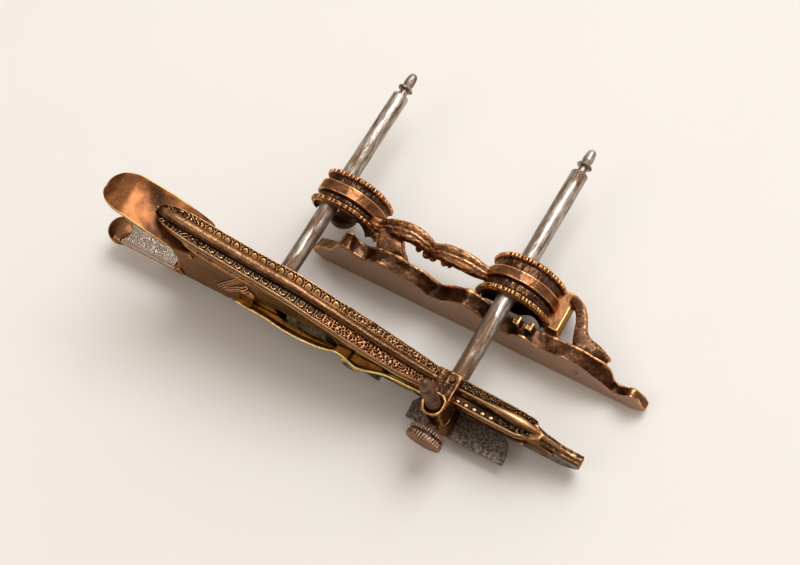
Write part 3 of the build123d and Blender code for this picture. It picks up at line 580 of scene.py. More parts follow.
def rail_mesh():
    """The crest rail: rib, two ornamented lanes, edge fillets and moulded sides."""
    xs = np.linspace(-45.5, 88.0, 470)
    top = np.linspace(-1, 1, 141)[None, :]
    near_w, far_w = curve(xs, NEAR), curve(xs, FAR)
    mid = curve(xs, RIB_Y)[:, None]
    far = top > 0
    w = np.where(far, far_w[:, None] - mid, near_w[:, None] + mid)
    x = xs[:, None] + 0 * w
    y = mid + top * w
    a = np.abs(top) * w
    rel = np.abs(top) + 0 * w
    thin = step(w, 0.5, 4.5)
    # rib, lanes and fillets
    rib_w = curve(xs, RIB_HALF)[:, None] * step(w, 0, 3) + 0.1
    rib = np.clip(1 - (a / rib_w) ** 2, 0, 1) ** 0.7
    lane = step(a, rib_w * 0.94, rib_w + 0.6)
    reach = np.clip((a - rib_w) / np.maximum(w * 0.84 - rib_w, 0.5), 0, 1)
    dish = np.where(far, 1.2, 0.35) * reach**1.4
    drop_by = (1.5 * (1 - rib) + 1.7 * lane - dish * lane) * thin
    fillet = step(rel, 0.85, 0.9) * (1 - step(rel, 0.97, 1.03) * 0.6)
    drop_by = drop_by - 0.5 * fillet * thin + 1.1 * step(rel, 0.93, 1) ** 2
    # ornament of the lanes: scrolls, then cups, then stipple
    ground = step(a, rib_w + 0.05, rib_w + 0.4) * (1 - step(rel, 0.83, 0.87))
    start = np.where(far, FAR_CUPS[0], NEAR_CUPS[0])
    end = np.where(far, FAR_CUPS[1], NEAR_CUPS[1])
    to_cups, to_stipple = step(x, start - 1, start + 1), step(x, end - 1, end + 1)
    in_cups = to_cups * (1 - to_stipple)
    cups, crescent = scalloped(x, w * 0.85 - a, far)
    relief = scrolls(x, y, a) * 0.8 * (1 - to_cups) + cups * in_cups + stippled(x, y) * to_stipple
    bumps = sum(0.8 * np.exp(-(((x - c) ** 2) / 1.6 + ((y - 4.2) ** 2) / 1.4)) for c in (45.5, 55.7))
    knocks = 0.12 * flat_noise(x, y, 2.5, 12) + 0.05 * flat_noise(x, y, 0.6, 13)
    z = curve(xs, CREST)[:, None] - drop_by + relief * ground * thin + bumps * far + knocks
    # sides
    down = np.linspace(0.03, 1.0, 26)
    across = x[:, :len(down)]
    wave = 0.075 * np.sin(2.1 * across) * (down > 0.2) * (down < 0.34)
    sides = []
    for edge, half, sign in ((z[:, -1:], far_w, 1.0), (z[:, :1], near_w, -1.0)):
        out = np.maximum(half[:, None] - curve(down, SIDE)[None, :] * thin.max(1)[:, None], 0.3)
        sides.append(np.stack([across, sign * (out - wave), edge - down * SIDE_DEPTH], 2))
    rings = wrapped(np.stack([x, y, z], 2), *sides, 7)
    # what the material reads: the rib painted brighter, partly as a painted highlight, the far lane lighter
    # and the near lane darker, and a painted crescent highlight in each near cup
    bare = np.clip(1 - ground, 0, 1)
    rub_and_painted_light = np.where(far, 0.7, -0.5 + 0.2 * to_stipple) * ground + 0.85 * bare - 0.2 * ground * in_cups * ~far
    copper = 0.85 * step(x, 18, 46) * np.where(far, bare, 1)
    return rail_of(rings, paint=(rub_and_painted_light, -0.35), gild=(copper, 0.2), rim=(crescent * ground * in_cups, 0.0))


# ---------------------------------------------------------------- horn and front rail
def horn_mesh():
    """The upper horn of the handle, a spoon with a painted highlight on its thin rim and a blunt root on the
    far side.
    """
    centre, radius = -58.0, 15.4
    tip_xs = centre - radius * np.sin(np.linspace(np.pi / 2, 0, 48))
    xs = np.concatenate([tip_xs, np.linspace(centre, -25.5, 60)[1:]])
    top = curve(xs, [(-73.6, 74.6), (-71, 76.2), (-66, 77.6), (-60, 77.4), (-50, 74), (-40, 68.4),
                     (-30, 61.6), (-25.5, 58.6)])
    low = curve(xs, [(-73.6, 73.8), (-71, 72.6), (-64, 71), (-52, 67), (-40, 60), (-30, 51.5), (-25.5, 48)])
    end = np.sqrt(np.clip(1 - ((np.minimum(xs, centre) - centre) / (radius + 0.03)) ** 2, 0.0, 1))
    wn = end * curve(xs, [(-74, 9.6), (-58, 9.9), (-45, 10.4), (-38, 10.2), (-30, 8), (-25.5, 5)])
    wf = end * curve(xs, [(-74, 9.4), (-58, 10), (-45, 10.4), (-36, 10.4), (-28, 10), (-25.5, 8.2)])
    c = np.cos(np.linspace(0, np.pi, 110))
    rel = np.abs(c)
    edge = ring_of(rel, 0.965, 0.036)
    rows, rims = [], []
    for x, zt, zb, a, b in zip(xs, top, low, wn, wf):
        y = np.where(c > 0, c * b, c * a)
        saddle = 1.3 * np.exp(-(((x + 50 + 0.45 * y) / 7.0) ** 2))
        upper = zt - 1.0 * rel**24 - (0.5 + saddle) * (1 - rel**2.2) + 0.28 * edge
        lower = zb + (zt - 1.1 - zb) * rel**5
        tip = math.exp(-(((x + 73.2) / 0.55) ** 2))
        under = np.stack([c * 0 + x, y, lower], 1)[::-1][1:-1]
        rows.append(np.concatenate([np.stack([c * 0 + x, y, upper], 1), under]))
        # where the rim's painted highlight goes, along the edge and at the tip
        rims.append(np.concatenate([np.maximum(edge, tip), np.zeros(len(under))]))
    v, faces = grid(np.array(rows))
    v = v + 0.05 * noise(v, 3, 41)[:, None]
    rim = np.concatenate(rims)
    # paint: painted shade in the saddle of the top, darker towards the root; rim: the painted highlight,
    # fainter at the root
    saddle = np.exp(-(((v[:, 0] + 47.0 + 0.5 * v[:, 1]) / 5.5) ** 2))
    root = step(v[:, 0], -40, -33)
    shown = 0.8 * rim * (1 - 0.7 * root)
    return (v, faces), {"paint": 0.4 - saddle - 0.8 * root, "gild": rim, "rim": shown}


# lower edge of the front rail's sides, along X
RAIL_LOW = [(96.5, 22.5), (130, 22.5), (134, 20.5), (139, 17.4), (147, 14.1), (154.8, 14)]
OVALS_END = 116.0


def front_rail_mesh():
    """The rail in front of the block, its widening rib, and the narrow nose."""
    xs = np.linspace(96.5, 154.8, 300)
    wn = curve(xs, [(96.5, 6), (126, 6.2), (129, 5.6), (133.5, 4), (138, 2.5), (150, 2.1), (154.8, 2.1)])
    wf = curve(xs, [(96.5, 5.8), (132.6, 4.5), (133.4, 3.1), (139, 2.3), (150, 2.2), (154.8, 2.1)])
    rib_z = curve(xs, [(96.5, 32.2), (118, 32.6), (127, 31.2), (133, 29), (139, 24.8), (148, 19.2),
                       (152, 18.6), (154.8, 18.9)])
    base = curve(xs, [(96.5, 29), (128, 28.8), (133, 26.6), (139, 22.6), (148, 17.8), (154.8, 17.6)])
    rib_w = curve(xs, [(96.5, 1), (110, 1.3), (119, 2.2), (126, 2.6), (131, 2), (137, 1.3), (146, 0.9),
                       (154.8, 1.2)])[:, None]
    low = curve(xs, RAIL_LOW)
    t = np.linspace(-1, 1, 101)[None, :]
    w = np.where(t < 0, wn[:, None], wf[:, None])
    y = t * w
    x = xs[:, None] + 0 * y
    a, rel, far = np.abs(y), np.abs(t) + 0 * w, t > 0
    z = base[:, None] + (rib_z - base)[:, None] * np.sqrt(np.clip(1 - (a / rib_w) ** 2, 0, 1))
    lane = step(a, rib_w + 0.15, rib_w + 0.6) * (1 - step(rel, 0.8, 0.86)) * (1 - step(x, 133, 136))
    before_nose = 1 - step(x, 131, 136)
    fillet = step(rel, 0.82, 0.88) * before_nose
    gutter = ring_of(a - rib_w, 0.4, 0.35) * before_nose
    z = z + 0.45 * fillet - 0.8 * step(rel, 0.93, 1) ** 2 - 0.35 * gutter
    # ornament: a row of ovals, then leaves, on the near side; pitted leaves on the far side
    pitch = 4.0
    u = ((x - 97.0) % pitch) - pitch / 2
    oval = 0.8 * np.sqrt(np.clip(1 - (u / 1.35) ** 2 - ((a - 4.2) / 0.95) ** 2, 0, 1))
    leaf = 0.5 * np.sin(2.0 * (x + 1.2 * np.sin(1.7 * a + 0.5 * x))) * np.cos(2.2 * a)
    leaf = leaf + 0.3 * flat_noise(x, y, 0.7, 8)
    d = pit_distance(x, y, 1.0, 5)
    pitted = 0.15 - 0.5 * np.clip(1 - (d / 0.42) ** 2, 0, 1) + 0.3 * leaf
    relief = np.where(far, 1.5 * pitted + 0.3 * leaf, np.where(x < OVALS_END, oval - 0.35, 1.1 * leaf - 0.1))
    z = z + relief * lane + 0.22 * step(x, 136, 140) * flat_noise(x, y, 0.9, 4)
    # sides
    down = np.linspace(0.05, 1, 18)
    inset = curve(down, [(0, 0), (0.18, 0.1), (0.3, 0.6), (0.45, 0.65), (0.55, 0.1), (0.7, 0.1), (0.85, 0.8),
                         (1, 1.4)])
    sides = []
    for edge, half, sign in ((z[:, -1], wf, 1.0), (z[:, 0], wn, -1.0)):
        out = sign * np.maximum(half[:, None] - inset[None, :] * step(half, 1.5, 5)[:, None], 0.4)
        height = edge[:, None] + (low - edge)[:, None] * down[None, :]
        sides.append(np.stack([x[:, :len(down)], out, height], 2))
    rings = wrapped(np.stack([x, y, z], 2), *sides, 5)
    # what the material reads: the rib brighter with a painted highlight along its crest, and the tops of the
    # near ovals brighter
    rub_and_painted_light = np.where(a < rib_w, 0.7, -0.15) * (1 - lane) - 0.6 * lane
    bright_ovals = np.clip(1.3 * oval - 0.2, 0, 0.8) * ~far * (x < OVALS_END) * lane
    shown = np.where(a < rib_w * 0.7, 0.42, 0.0) + bright_ovals
    return rail_of(rings, paint=(rub_and_painted_light, -0.5), rim=(shown, 0.0))


# ---------------------------------------------------------------- stock
def tuck_in(v):
    """Sinks the casting under the horn and the front rail, which are pieces of their own."""
    x, y, z = v.T
    middle_z = curve(x, [(-74, 73), (-64, 74.4), (-52, 71), (-40, 64.3), (-28, 55)])
    in_horn = step(-x, 28, 40) * step(z, middle_z - 7, middle_z - 4)
    y *= 1 - 0.3 * in_horn
    z += (middle_z - z) * 0.62 * in_horn
    low = curve(x, RAIL_LOW)
    in_front_rail = step(x, 97.2, 98.6) * step(z, low, low + 2.5)
    y -= y * 0.3 * in_front_rail
    z -= 2.4 * in_front_rail
    x -= 0.8 * step(x, 150, 155)


def stock_mesh():
    """The stock's casting: skin of the CAD node with hammer marks, a veined leaf and a small knob."""
    v, quads = skin([cad_mesh("main_stock")], 0.42)
    x, y, z = v.T
    crest = curve(x, CREST)
    in_rail = step(z, crest - SIDE_DEPTH, crest - 6) * (x > -47) * (x < 86.3)
    y *= 1 - 0.28 * in_rail
    z -= 1.5 * in_rail
    v = relax(v, edges_of(quads), 3)
    n = normals(v, quads)
    tuck_in(v)
    x, y, z = v.T
    # no relief near the bores, nor where the skates sit
    bores = np.minimum(np.hypot(x - POST_X, y - POST_Y) - 3.3, 9)
    bores = np.minimum(bores, np.hypot(x - SCREW_X, z - SCREW_Z) - 2.0)
    knob_bore = np.hypot(x - KNOB_X, z - KNOB_Z) - 2.4 + 9 * (y > -13)
    bores = np.minimum(bores, np.where(z > 14, knob_bore, 9))
    foot = step(-x, 82, 86) * step(z, 14.5, 15.5)
    z -= (z - 15.0) * 0.5 * foot
    free = step(bores, 0.1, 0.8)
    seat = (np.abs(y) < 3) & (z < 19.5) & (n[:, 2] < 0.5)
    block = step(x, 85, 87) * (1 - step(x, 97, 98.5))
    # two veins of the leaf on the near side
    veins = np.minimum(np.abs(z - 31.0 - 1.32 * (x + 21.0)), np.abs(z - 28.0 - 1.05 * (x + 19.0)))
    veins = np.where((x > -26) & (x < -4) & (z > 24) & (z < 54), veins, 9)
    near_side = y < -4
    vein = np.maximum(ring_of(veins, 0, 0.5), 0.8 * ring_of(veins, 1.9, 0.4)) * near_side
    knob = 1.6 * np.sqrt(np.clip(1 - ((x + 6.0) / 3.6) ** 2 - ((z - 37.0) / 5.5) ** 2, 0, 1)) * near_side
    hammer = 0.10 * noise(v, 2.2, 21) + 0.05 * noise(v, 0.8, 22) + 0.16 * noise(v, 5, 23)
    hammer = hammer + block * (0.16 * noise(v * [1, 0.4, 1], 1.3, 24) + 0.1 * noise(v, 0.6, 25))
    hammer = hammer * (1 - 0.85 * step(-x, 78, 84)) * (1 - 0.6 * (n[:, 1] < -0.8) * (x < 84))
    v += n * (hammer + vein + knob)[:, None] * (free * ~seat)[:, None]
    # what the material reads
    boss_r = np.hypot(x - POST_X, y - POST_Y)
    boss_top = z[(boss_r < 6) & (y < -8)].max()
    boss_rim = (boss_r < 7) * (y < -6.5) * step(z, boss_top - 1.8, boss_top - 1)
    # painted shade over the front of the body, below the crest rail
    painted_shade_front = step(x, -2, 8) * (x < 85) * (z < 62)
    rim = 0.75 * vein + 0.3 * (knob > 0.9) + 0.5 * boss_rim
    return (v, quads), {"paint": 0.5 * (knob > 0.3) - 0.55 * block - 0.6 * painted_shade_front, "rim": rim}


mesh, fields = stock_mesh()
add("stock_casting", mesh, BODY, "stock", ["main_stock"], "stock_bronze", **fields)
for name, shape, material in (
    ("crest_rail", rail_mesh, BRONZE),
    ("handle_horn", horn_mesh, HORN),
    ("front_rail", front_rail_mesh, BRONZE),
):
    mesh, fields = shape()
    add(name, mesh, material, "stock", slot="stock_bronze", **fields)


# ---------------------------------------------------------------- engraved heel plate
def heel_plate_mesh():
    """Thin plate with a double border, a stippled ground and a leaf spray."""
    lo, hi = (np.array(c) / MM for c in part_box("heel_plate"))
    x, y = np.meshgrid(np.linspace(lo[0], hi[0], 200), np.linspace(lo[1], hi[1], 80), indexing="ij")
    inset = np.minimum(np.minimum(x - lo[0], hi[0] - x), np.minimum(y - lo[1], hi[1] - y))
    border = -0.22 * ring_of(inset, 1, 0.16) - 0.18 * ring_of(inset, 1.8, 0.13)
    d = pit_distance(x, y, 0.62, 17)
    ground = -0.22 * np.clip(1 - (d / 0.24) ** 2, 0, 1) * step(inset, 1.9, 2.2)
    along, across = (x - 0.5 * (lo[0] + hi[0])) * 0.55, y - 0.5 * (lo[1] + hi[1])
    r, turn = np.hypot(along, across), np.arctan2(across, along)
    petals = 2.6 + 0.9 * np.cos(6 * turn)
    spray = step(petals - r, 0, 0.25) * (0.12 * np.cos(18 * turn) - 0.05 * np.cos(4 * r))
    outline = -0.28 * ring_of(petals - r, 0, 0.14)
    bevel = 0.35 * (1 - step(inset, 0, 0.35))
    top = hi[2] - 0.05 + np.where(r < petals, spray, ground) + border + outline - bevel
    upper = np.stack([x, y, top], 2)
    lower = np.stack([x, y, np.full(x.shape, lo[2])], 2)
    return grid(np.concatenate([upper, lower[:, ::-1]], 1)[::-1])


add("engraved_heel_plate", heel_plate_mesh(), ENGRAVED, "stock", ["heel_plate"], "silvered_plate")

# ---------------------------------------------------------------- fence
FACE_Y = 35.0  # the face that runs along the work
# upper edge of the long plate on its near and far side, along X
NEAR_TOP = [(-5, 8), (-1, 12.4), (3.5, 14.6), (8, 18.4), (12.5, 26.2), (16, 28.6), (18.8, 28.9), (21.5, 25.8),
            (26, 24.3), (31.5, 27.2), (36.4, 29.6), (41, 27.8), (47, 25.4), (52, 23.8), (56, 21.3),
            (60, 17.6), (65, 18.9), (71.6, 24.6), (79, 28.5), (84, 26.4), (88, 22.6), (94, 20.6),
            (99.5, 18.2), (104, 21.6), (108, 23), (112, 20.6), (117, 18.8), (122, 20.6), (127, 22.8),
            (132.5, 21.4), (140.2, 16.9), (146.3, 12.3), (151, 8.6), (155.5, 11), (158.5, 14.4), (162, 12.6),
            (164.6, 8), (165.8, 5)]
FAR_TOP = [(-5, 6.4), (1, 9), (6, 12), (10.5, 19.5), (13.5, 27.7), (16.3, 31.4), (18.6, 31.8), (20.2, 27.2),
           (23.5, 25.4), (28, 26.4), (33, 29.6), (43, 30.6), (48, 27.4), (53, 26.6), (57.1, 24.3),
           (61.8, 20.7), (67, 23.4), (72.3, 27.4), (78.7, 30.8), (86, 27.6), (97, 21.2), (104, 22.4),
           (113, 20.4), (119.8, 22.2), (125, 22.6), (131, 23.4), (138, 21.2), (143, 19.4), (148, 14),
           (151, 9.4), (155.5, 11.2), (158.5, 13.8), (162, 11.6), (164.6, 7), (165.8, 4.4)]
# outline and inner edge in X and Z, span in Y, heights of near and far rim, band as (from, to, height)
REAR_DRUM = dict(
    outline=[(-9, 19.8), (-9.8, 22.5), (-9.3, 26), (-7.2, 30), (-3.4, 32.7), (1, 33.6), (6, 33.9), (11, 32.6),
             (15.2, 29.6), (18.6, 25.4), (20.6, 20.4), (21, 15), (20.2, 10.5)],
    inner=[(-8, 19.2), (-5, 18.2), (0.5, 18.2), (5, 17.8), (9.5, 19.6), (12.6, 24), (14.9, 26.6),
           (16.6, 24.4), (17, 19), (16.4, 14), (16, 11)],
    span=(49.4, 67), rim=(1.6, 1.2), band=(55.4, 60.9, 1.1), pitch=2.9, gild=0.15,
)
FRONT_DRUM = dict(
    outline=[(77.6, 13.6), (78, 18), (79.8, 22.6), (82.8, 27.4), (87, 31.4), (92, 33.6), (97, 33.9),
             (102, 32.5), (106.6, 29.2), (110, 24.4), (111.8, 19), (112, 14), (111, 9.6)],
    inner=[(79.6, 14.6), (83, 17), (87.5, 17.6), (91, 15.8), (95.5, 14.8), (99.5, 15.6), (103, 19.6),
           (106, 21.4), (108.4, 18.6), (109.2, 13), (108.6, 9)],
    span=(46.3, 66.2), rim=(1.4, 1), band=(53.8, 58.8, 1.1), pitch=2.1, gild=1.0,
)


def drum_mesh(outline, inner, span, rim, band, pitch, gild):
    """One drum of the fence: beaded near rim, raised plain band, notched far rim, open below."""
    base, ins = through(outline, 300), through(inner, 300)
    way = np.gradient(base, axis=0)
    reach = np.linalg.norm(way, axis=1)
    out = np.stack([-way[:, 1], way[:, 0]], 1) / reach[:, None]
    ys = np.linspace(*span, 90)
    near = np.exp(-(((ys - span[0] - 1.7) / 1.45) ** 4))
    far = np.exp(-(((ys - span[1] + 1.5) / 1.3) ** 4))
    start, stop, height = band
    flat = step(ys, start - 0.2, start + 0.25) * (1 - step(ys, stop - 0.25, stop + 0.2))
    raised = rim[0] * near + rim[1] * far + height * flat
    raised = raised - 0.5 * (1 - np.minimum(near + far + flat, 1)) - 0.25 * ring_of(ys, start - 0.5, 0.4)
    along = np.cumsum(reach)[:, None]
    bead = np.abs(np.sin(np.pi * (along + 0.55 * np.sin(0.83 * along) + 0.10 * ys) / pitch)) ** 0.42
    notch = ring_of((along / 2.4 + 0.17 * np.sin(along)) % 1, 0.5, 0.13)
    r = raised - 0.95 * (1 - bead) * near - 0.95 * notch * far
    x, z = base[:, :1] + r * out[:, :1], base[:, 1:] + r * out[:, 1:]
    outer = np.stack([x, ys + 0 * x, z], 2)
    # the end faces run in to the inner edge, slightly hollow
    f = np.linspace(0.0, 1.0, 18)[1:]
    bottom = np.stack([ins[:, 0], 0 * ins[:, 0], ins[:, 1]], 1)[:, None]
    faces = []
    for edge, y, hollow in ((outer[:, -1], span[1], -1.2), (outer[:, 0], span[0], 1.5)):
        face = edge[:, None] * (1 - f[None, :, None]) + bottom * f[None, :, None]
        face[:, :, 1] = y + hollow * np.sin(np.pi * f) ** 0.5
        faces.append(face)
    rings = wrapped(outer, *faces, 10)
    v, faces = grid(rings)
    plain = 1 - near - far - flat
    # paint: the end faces and the inside painted dark as shade, the raised band lighter and the gaps darker
    gaps, paint, tint = (
        padded(np.broadcast_to(values, x.shape), rings.shape[1], rest).ravel()
        for values, rest in ((plain, 0.0), (0.8 * flat - 0.3 * plain, -1.0), (gild * near, 0.0))
    )
    rough = 0.10 + 0.22 * np.clip(gaps, 0, 1)
    v[:, 2] += noise(v, 1.6, 5) * rough
    v = v + (noise(v * [1, 0.35, 1], 0.7, 6) * rough * 0.6)[:, None] * np.array([0.6, 0, 0.8])
    return (v, faces), {"paint": paint, "gild": tint}


def drilled(mesh, fields, x, z, radius):
    """The mesh with a round hole along Y through the drums, and its per-point values carried over."""
    v, faces = mesh
    ob = scratch_object("solid", v, faces)
    for key, values in fields.items():
        ob.data.attributes.new(key, "FLOAT", "POINT").data.foreach_set("value", values.astype(np.float32))
    tool = scratch_object("drill", *lathe([(radius, 0.0), (radius, 60.0)], (x, 25.0, z), 72))
    mod = ob.modifiers.new("b", "BOOLEAN")
    mod.operation = "DIFFERENCE"
    mod.object = tool
    mod.solver = "EXACT"
    ob.modifiers.new("t", "TRIANGULATE").min_vertices = 4
    out = modified(ob)
    kept = {key: pull(out.attributes[key].data, "value") for key in fields}
    triangles = pull(out.loops, "vertex_index", 1, np.int32).reshape(-1, 3)
    mesh = pull(out.vertices, "co", 3).astype(float), triangles
    drop(ob, tool)
    bpy.data.meshes.remove(out)
    return mesh, kept


def plate_mesh():
    """The long plate of the fence that runs along the work, with its sculpted upper edge."""
    xs = np.linspace(-5.0, 165.8, 420)
    near, far = curve(xs, NEAR_TOP), curve(xs, FAR_TOP)
    wide = 42.6 - 2.6 * step(xs, 146, 149.5)
    low = 3 * (1 - step(xs, -5, -1.5)) + 3.5 * step(xs, 158, 165.8) ** 2
    low = np.minimum(low, near - 1.5)
    rows = []
    for x, a, b, w, foot in zip(xs, near, far, wide, low):
        mid = 0.5 * (a + b) - 0.35
        yz = [(FACE_Y, foot + 0.5), (FACE_Y + 0.4, foot), (w - 0.5, foot), (w, foot + 0.5), (w, b - 0.7),
              (w - 0.7, b), (39.0, mid), (FACE_Y + 0.5, a), (FACE_Y, a - 0.5)]
        rows.append([(x, y, z) for y, z in yz])
    return grid(np.array(rows))


def slab(x0, x1, y0, y1, z0, z1):
    """Block between six planes."""
    c = np.array([[x, y, z] for x in (x0, x1) for y in (y0, y1) for z in (z0, z1)], float)
    return c, [[0, 1, 3, 2], [4, 6, 7, 5], [0, 4, 5, 1], [2, 3, 7, 6], [0, 2, 6, 4], [1, 5, 7, 3]]


def leaf_bridge(points, half, crest, n=70):
    """One leaf of the bridge: pointed at both ends, a ridge along its back and grooves beside it."""
    path = through(points, n)
    t = np.linspace(0, 1, n)
    swell = np.sqrt(np.clip(np.sin(np.pi * (0.12 + 0.76 * t)), 0, 1))
    radii = np.stack([half * swell, crest * swell], 1)

    def ribs(ang, share):
        ridge = 1.75 + 0.5 * math.sin(2.4 * share)
        cuts = ((0.5, 0.14, 0.20), (-0.5, 0.16, 0.14), (1.05, 0.13, 0.16), (-1.1, 0.13, 0.12))
        depth = sum(d * np.exp(-(((ang - ridge + at) / width) ** 2)) for at, width, d in cuts)
        return 1.0 + 0.16 * np.exp(-(((ang - ridge) / 0.2) ** 2)) - depth

    return sweep(path, radii, 72, ribs)


def strut(points, n=44):
    """Leg of square-round section through (x, y, z, half across, half up) stations."""
    p = through(points, n)
    return sweep(p[:, :3], p[:, 3:], 32, lambda a, k: (np.cos(a) ** 4 + np.sin(a) ** 4) ** -0.25)


def bead(x, y, z, r):
    """Ball, drawn out a little along Y."""
    half_turn = np.linspace(0, np.pi, 14)
    return lathe([(max(r * math.sin(t), 0.02), -1.2 * r * math.cos(t)) for t in half_turn], (x, y, z), 24)


def fence_mesh():
    """The fence's casting without its drums: plate, two-leaf bridge, beads, two legs, lug and two posts."""
    parts = [
        plate_mesh(),
        leaf_bridge([(17, 55.5, 22), (24, 54.6, 21.8), (32, 55, 25.2), (41, 55.4, 27.2), (47, 55, 25.6),
                     (52.5, 54.6, 20.8)], 4.7, 3.2),
        leaf_bridge([(49.5, 54.6, 20.4), (54, 54.8, 22.6), (60, 55, 24.6), (68, 55, 24.4), (74, 55, 22.8),
                     (81, 55.5, 20.5)], 4.7, 3.0),
        strut([(37, 40.2, 11, 8, 3), (36.4, 42, 17, 7.4, 3.6), (34.4, 45, 21, 6.6, 4.2),
               (31.8, 50, 22.4, 6.2, 3.8), (29.5, 54, 23, 5, 3.2)]),
        strut([(114, 65, 10.6, 2.2, 2.8), (117.8, 63.4, 13.4, 2.4, 2.8), (122, 60.6, 15.4, 2.5, 2.6),
               (125.2, 56, 16.2, 2.6, 2.6), (127.4, 51, 16.6, 3, 2.8), (130.2, 46.8, 16.8, 4.4, 3),
               (134.4, 43.4, 15.4, 7, 3.6), (138, 40.6, 11, 9, 3)]),
        slab(111, 117.8, 46.8, 66.2, 7.4, 15.8),
        slab(101.1, 104.1, 38.6, 42.6, 15, 26.6),
        slab(107, 110.2, 38.6, 42.6, 15, 26),
    ]
    for x, y, z, r in ((49.6, 52.4, 20.4, 2.2), (53, 52, 20.6, 1.9), (59.5, 51.4, 22.6, 1.7),
                       (62.4, 51.3, 23, 1.5), (46, 51.8, 23.4, 1.6)):
        parts.append(bead(x, y, z, r))
    v, quads = skin(parts, 0.42)
    v = relax(v, edges_of(quads), 9)
    x, y, z = v.T
    n = normals(v, quads)
    # cast roughness, held back on the working face and near the arms
    off_face = 0.12 + 0.88 * step(y, FACE_Y + 0.3, FACE_Y + 1)
    bore = np.minimum(np.hypot(x - REAR_ARM_X, z - ARM_Z), np.hypot(x - FRONT_ARM_X, z - ARM_Z))
    lump = (0.34 * noise(v, 5, 31) + 0.16 * noise(v, 2, 32)) * (1 - 0.75 * step(y, 44, 48))
    lump = lump + 0.04 * noise(v, 0.8, 33)
    streaks = 0.14 * noise(v * [0.35, 1, 1], 0.8, 34) * step(y, 46, 49) * (1 - step(x, 104, 112))
    v = v + n * ((lump + streaks) * off_face * step(bore, 4.5, 5.2))[:, None]
    # what the material reads; x, y and z are still those from before the roughness
    paint = 0.5 * step(y, 43, 49) - 0.15 * (1 - step(y, 43, 49))
    lug = (x > 110.4) & (x < 118.4) & (y > 46) & (z < 17)
    paint = np.where(lug, 0.9, np.where((x > 110) & (y > 43), -0.1, paint))
    face = (1 - step(y, FACE_Y + 0.4, FACE_Y + 1.2)) * (n[:, 1] < -0.5)
    return (v, quads), {"paint": paint, "gild": 0.8 * lug, "plain": face}


ARM_BORE = 4.6
mesh, fields = fence_mesh()
add("fence_casting", mesh, COPPER, "fence", ["fence"], "fence_copper", **fields)
for name, measures, arm_x in (
    ("fence_rear_drum", REAR_DRUM, REAR_ARM_X), ("fence_front_drum", FRONT_DRUM, FRONT_ARM_X),
):
    mesh, fields = drilled(*drum_mesh(**measures), arm_x, ARM_Z, ARM_BORE)
    add(name, mesh, COPPER, "fence", slot="fence_copper", **fields)

# ---------------------------------------------------------------- clamp and depth stop
# the lip of the clamp, which gets a painted highlight: (X, Y)
CLAMP_LIP = [(-14.5, -8.8), (-9.4, -10.1), (-0.8, -9.4), (13, -11.3), (22.6, -10.8), (30.7, -11.1),
             (36.8, -8.4), (43.7, -9.6), (51.2, -9.2), (57.6, -9.8), (64.8, -7.8), (71.6, -5.1), (85, -4.4)]


def clamp_mesh():
    """The brass trough, its wall leaning in towards the foot."""
    v, quads = skin([cad_mesh("cutter_clamp")], 0.32)
    v = relax(v, edges_of(quads), 3)
    x, y, z = v.T
    lip_y = curve(x, CLAMP_LIP)
    screw = np.hypot(x - SCREW_X, z - SCREW_Z)
    y += 0.34 * np.clip(27 - z, 0, 9) * step(-y, 6.2, 8.4) * step(screw, 4.4, 6.5)
    ripple = 0.10 * noise(v, 4, 51) * step(screw, 4.4, 5.5)
    v = v + normals(v, quads) * (ripple * (y < -5.6))[:, None]
    lip = step(z, 26.9, 27.5) * ring_of(y - lip_y, 0, 1.1)
    # paint: painted shade low on the clamp, under its lip; rim: the painted highlight along the lip
    return (v, quads), {"paint": 0.3 - 0.9 * (1 - step(z, 17, 25)), "rim": 0.5 * lip}


def pillar_mesh():
    """The depth stop's post with two turned grooves and a rounded top."""
    v, quads = skin([cad_mesh("depth_stop_post")], 0.3)
    x, y, z = v.T
    shrink = 1 - 0.24 * ring_of(z, 57.4, 0.6) - 0.10 * ring_of(z, 51, 0.5)
    shrink = shrink * np.sqrt(np.clip(1 - (np.clip(z - 60.2, 0, 9) / 4.4) ** 2, 0.05, 1))
    x += (x - POST_X) * (shrink - 1)
    y += (y - POST_Y) * (shrink - 1)
    v = relax(v, edges_of(quads), 2)
    worn = (z > 47)[:, None] * 0.09 * noise(v, 1.6, 61)[:, None]
    return (v + normals(v, quads) * worn, quads), {}


def knob_mesh():
    """The depth stop's thumb screw with a ribbed rim."""
    v, quads = skin([cad_mesh("depth_stop_screw")], 0.26)
    x, y, z = v.T
    turn = np.arctan2(z - KNOB_Z, x - KNOB_X)
    r = np.hypot(x - KNOB_X, z - KNOB_Z)
    edge = step(r, r.max() - 1, r.max() - 0.35)
    v = relax(v, edges_of(quads), 2)
    ribs = -0.32 * np.abs(np.sin(17 * turn + 0.5 * y)) ** 6 * edge + 0.12 * noise(v, 0.9, 71) * (r > 4)
    return (v + normals(v, quads) * ribs[:, None], quads), {"paint": 0.8 * edge}


for name, shape, material, body, node, slot in (
    ("brass_clamp", clamp_mesh, BRASS, "cutter_clamp", "cutter_clamp", "polished_brass"),
    ("depth_stop_pillar", pillar_mesh, POST, "depth_stop", "depth_stop_post", "brown_steel"),
    ("depth_stop_knob", knob_mesh, KNOB, "depth_stop_screw", "depth_stop_screw", "dark_bronze"),
):
    mesh, fields = shape()
    add(name, mesh, material, body, [node], slot, **fields)

# ---------------------------------------------------------------- carried-over nodes
FINISH = (
    (PLATE, "heel_plate_pins front_skate rear_skate front_skate_rivets rear_skate_rivets cutter"),
    (ARM, "rear_arm front_arm clamp_dowel clamp_screw"),
    (BODY, "arm_pins"),
    (SPECKLE, "depth_stop_shoe"),
    (DARK, "rear_fence_screw front_fence_screw"),
)
for material, nodes in FINISH:
    for node in nodes.split():
        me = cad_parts[node].data
        me.materials.clear()
        me.materials.append(material)

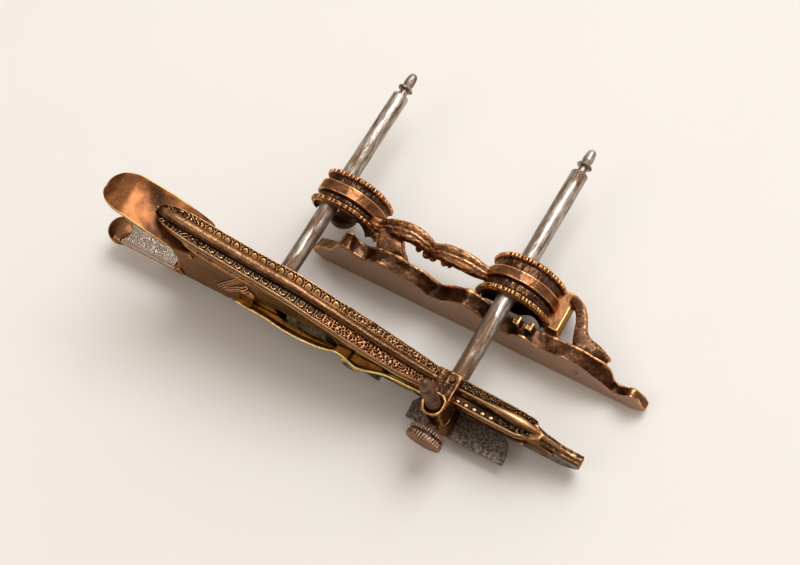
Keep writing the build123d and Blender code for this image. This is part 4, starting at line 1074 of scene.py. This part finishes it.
# ---------------------------------------------------------------- stage
# the camera's axes and place in metres, solved from the photo's straight edges
right = (0.847236550, 0.506180931, -0.161155494)
up = (-0.409758736, 0.815790559, 0.408146471)
back = (0.338065091, -0.279761736, 0.898579638)
eye = (0.26404, -0.14621, 0.60080)


def turned(x, y, z, place):
    """Matrix of an object from its three axes and its place."""
    return Matrix([[x[i], y[i], z[i], place[i]] for i in range(3)] + [[0, 0, 0, 1]])


cam = placed("camera", bpy.data.cameras.new("camera"))
cam.data.lens = 65.25
cam.data.sensor_width = 36.0
cam.data.clip_start = 0.02
cam.matrix_world = turned(right, up, back, eye)
bpy.context.scene.camera = cam

FLOOR_Z = -0.0007  # metres, just under the lowest point of the CAD
s = Shader("pale_card")
tint = s.noise(60.0, 2.0)
me = bpy.data.meshes.new("floor")
me.from_pydata([(x, y, FLOOR_Z) for x, y in ((-4, -4), (4, -4), (4, 4), (-4, 4))], [], [(0, 1, 2, 3)])
me.materials.append(s.out(s.mix(tint, (0.757, 0.758, 0.745), (0.773, 0.775, 0.763)), 0.0, 0.85))
placed("floor", me)
LAMPS_AIM = np.array([0.04, 0.04, 0.03])


def lamp(name, towards, distance, size, power, color):
    """Square lamp at a distance in a direction from the middle of the object, facing it."""
    z_axis = np.array(towards, float)
    z_axis /= np.linalg.norm(z_axis)
    x_axis = np.cross([0.0, 0.0, 1.0], z_axis)
    x_axis /= np.linalg.norm(x_axis)
    place = LAMPS_AIM + z_axis * distance
    light = bpy.data.lights.new(name, "AREA")
    light.size = size
    light.energy = power
    light.color = color
    placed(name, light).matrix_world = turned(x_axis, np.cross(z_axis, x_axis), z_axis, place)


lamp("key", (0.17, 0.44, 0.88), 2.2, 1.2, 30.4, (1.0, 0.99, 0.98))
lamp("fill", (-0.35, -0.55, 0.8), 1.6, 0.9, 3.2, (1.0, 0.96, 0.91))

# surroundings: bright and pale towards the key lamp, dim and warm away from it
world = bpy.data.worlds.new("studio")
world.use_nodes = True
room = Nodes(world.node_tree)
facing = room.node("VectorMath")
facing.operation = "DOT_PRODUCT"
facing.inputs[1].default_value = (0.14, 0.58, 0.80)
room.plug(facing.inputs[0], room.place["Generated"])
brightness = room.band(facing.outputs["Value"], -0.2, 1.0, 0.07, 0.95)
background = room.t.nodes["Background"]
room.plug(background.inputs["Strength"], brightness)
room.plug(background.inputs["Color"], room.mix(brightness, (1, 0.605, 0.353), (1, 0.951, 0.879)))
bpy.context.scene.world = world
bpy.context.scene.view_settings.view_transform = "Standard"
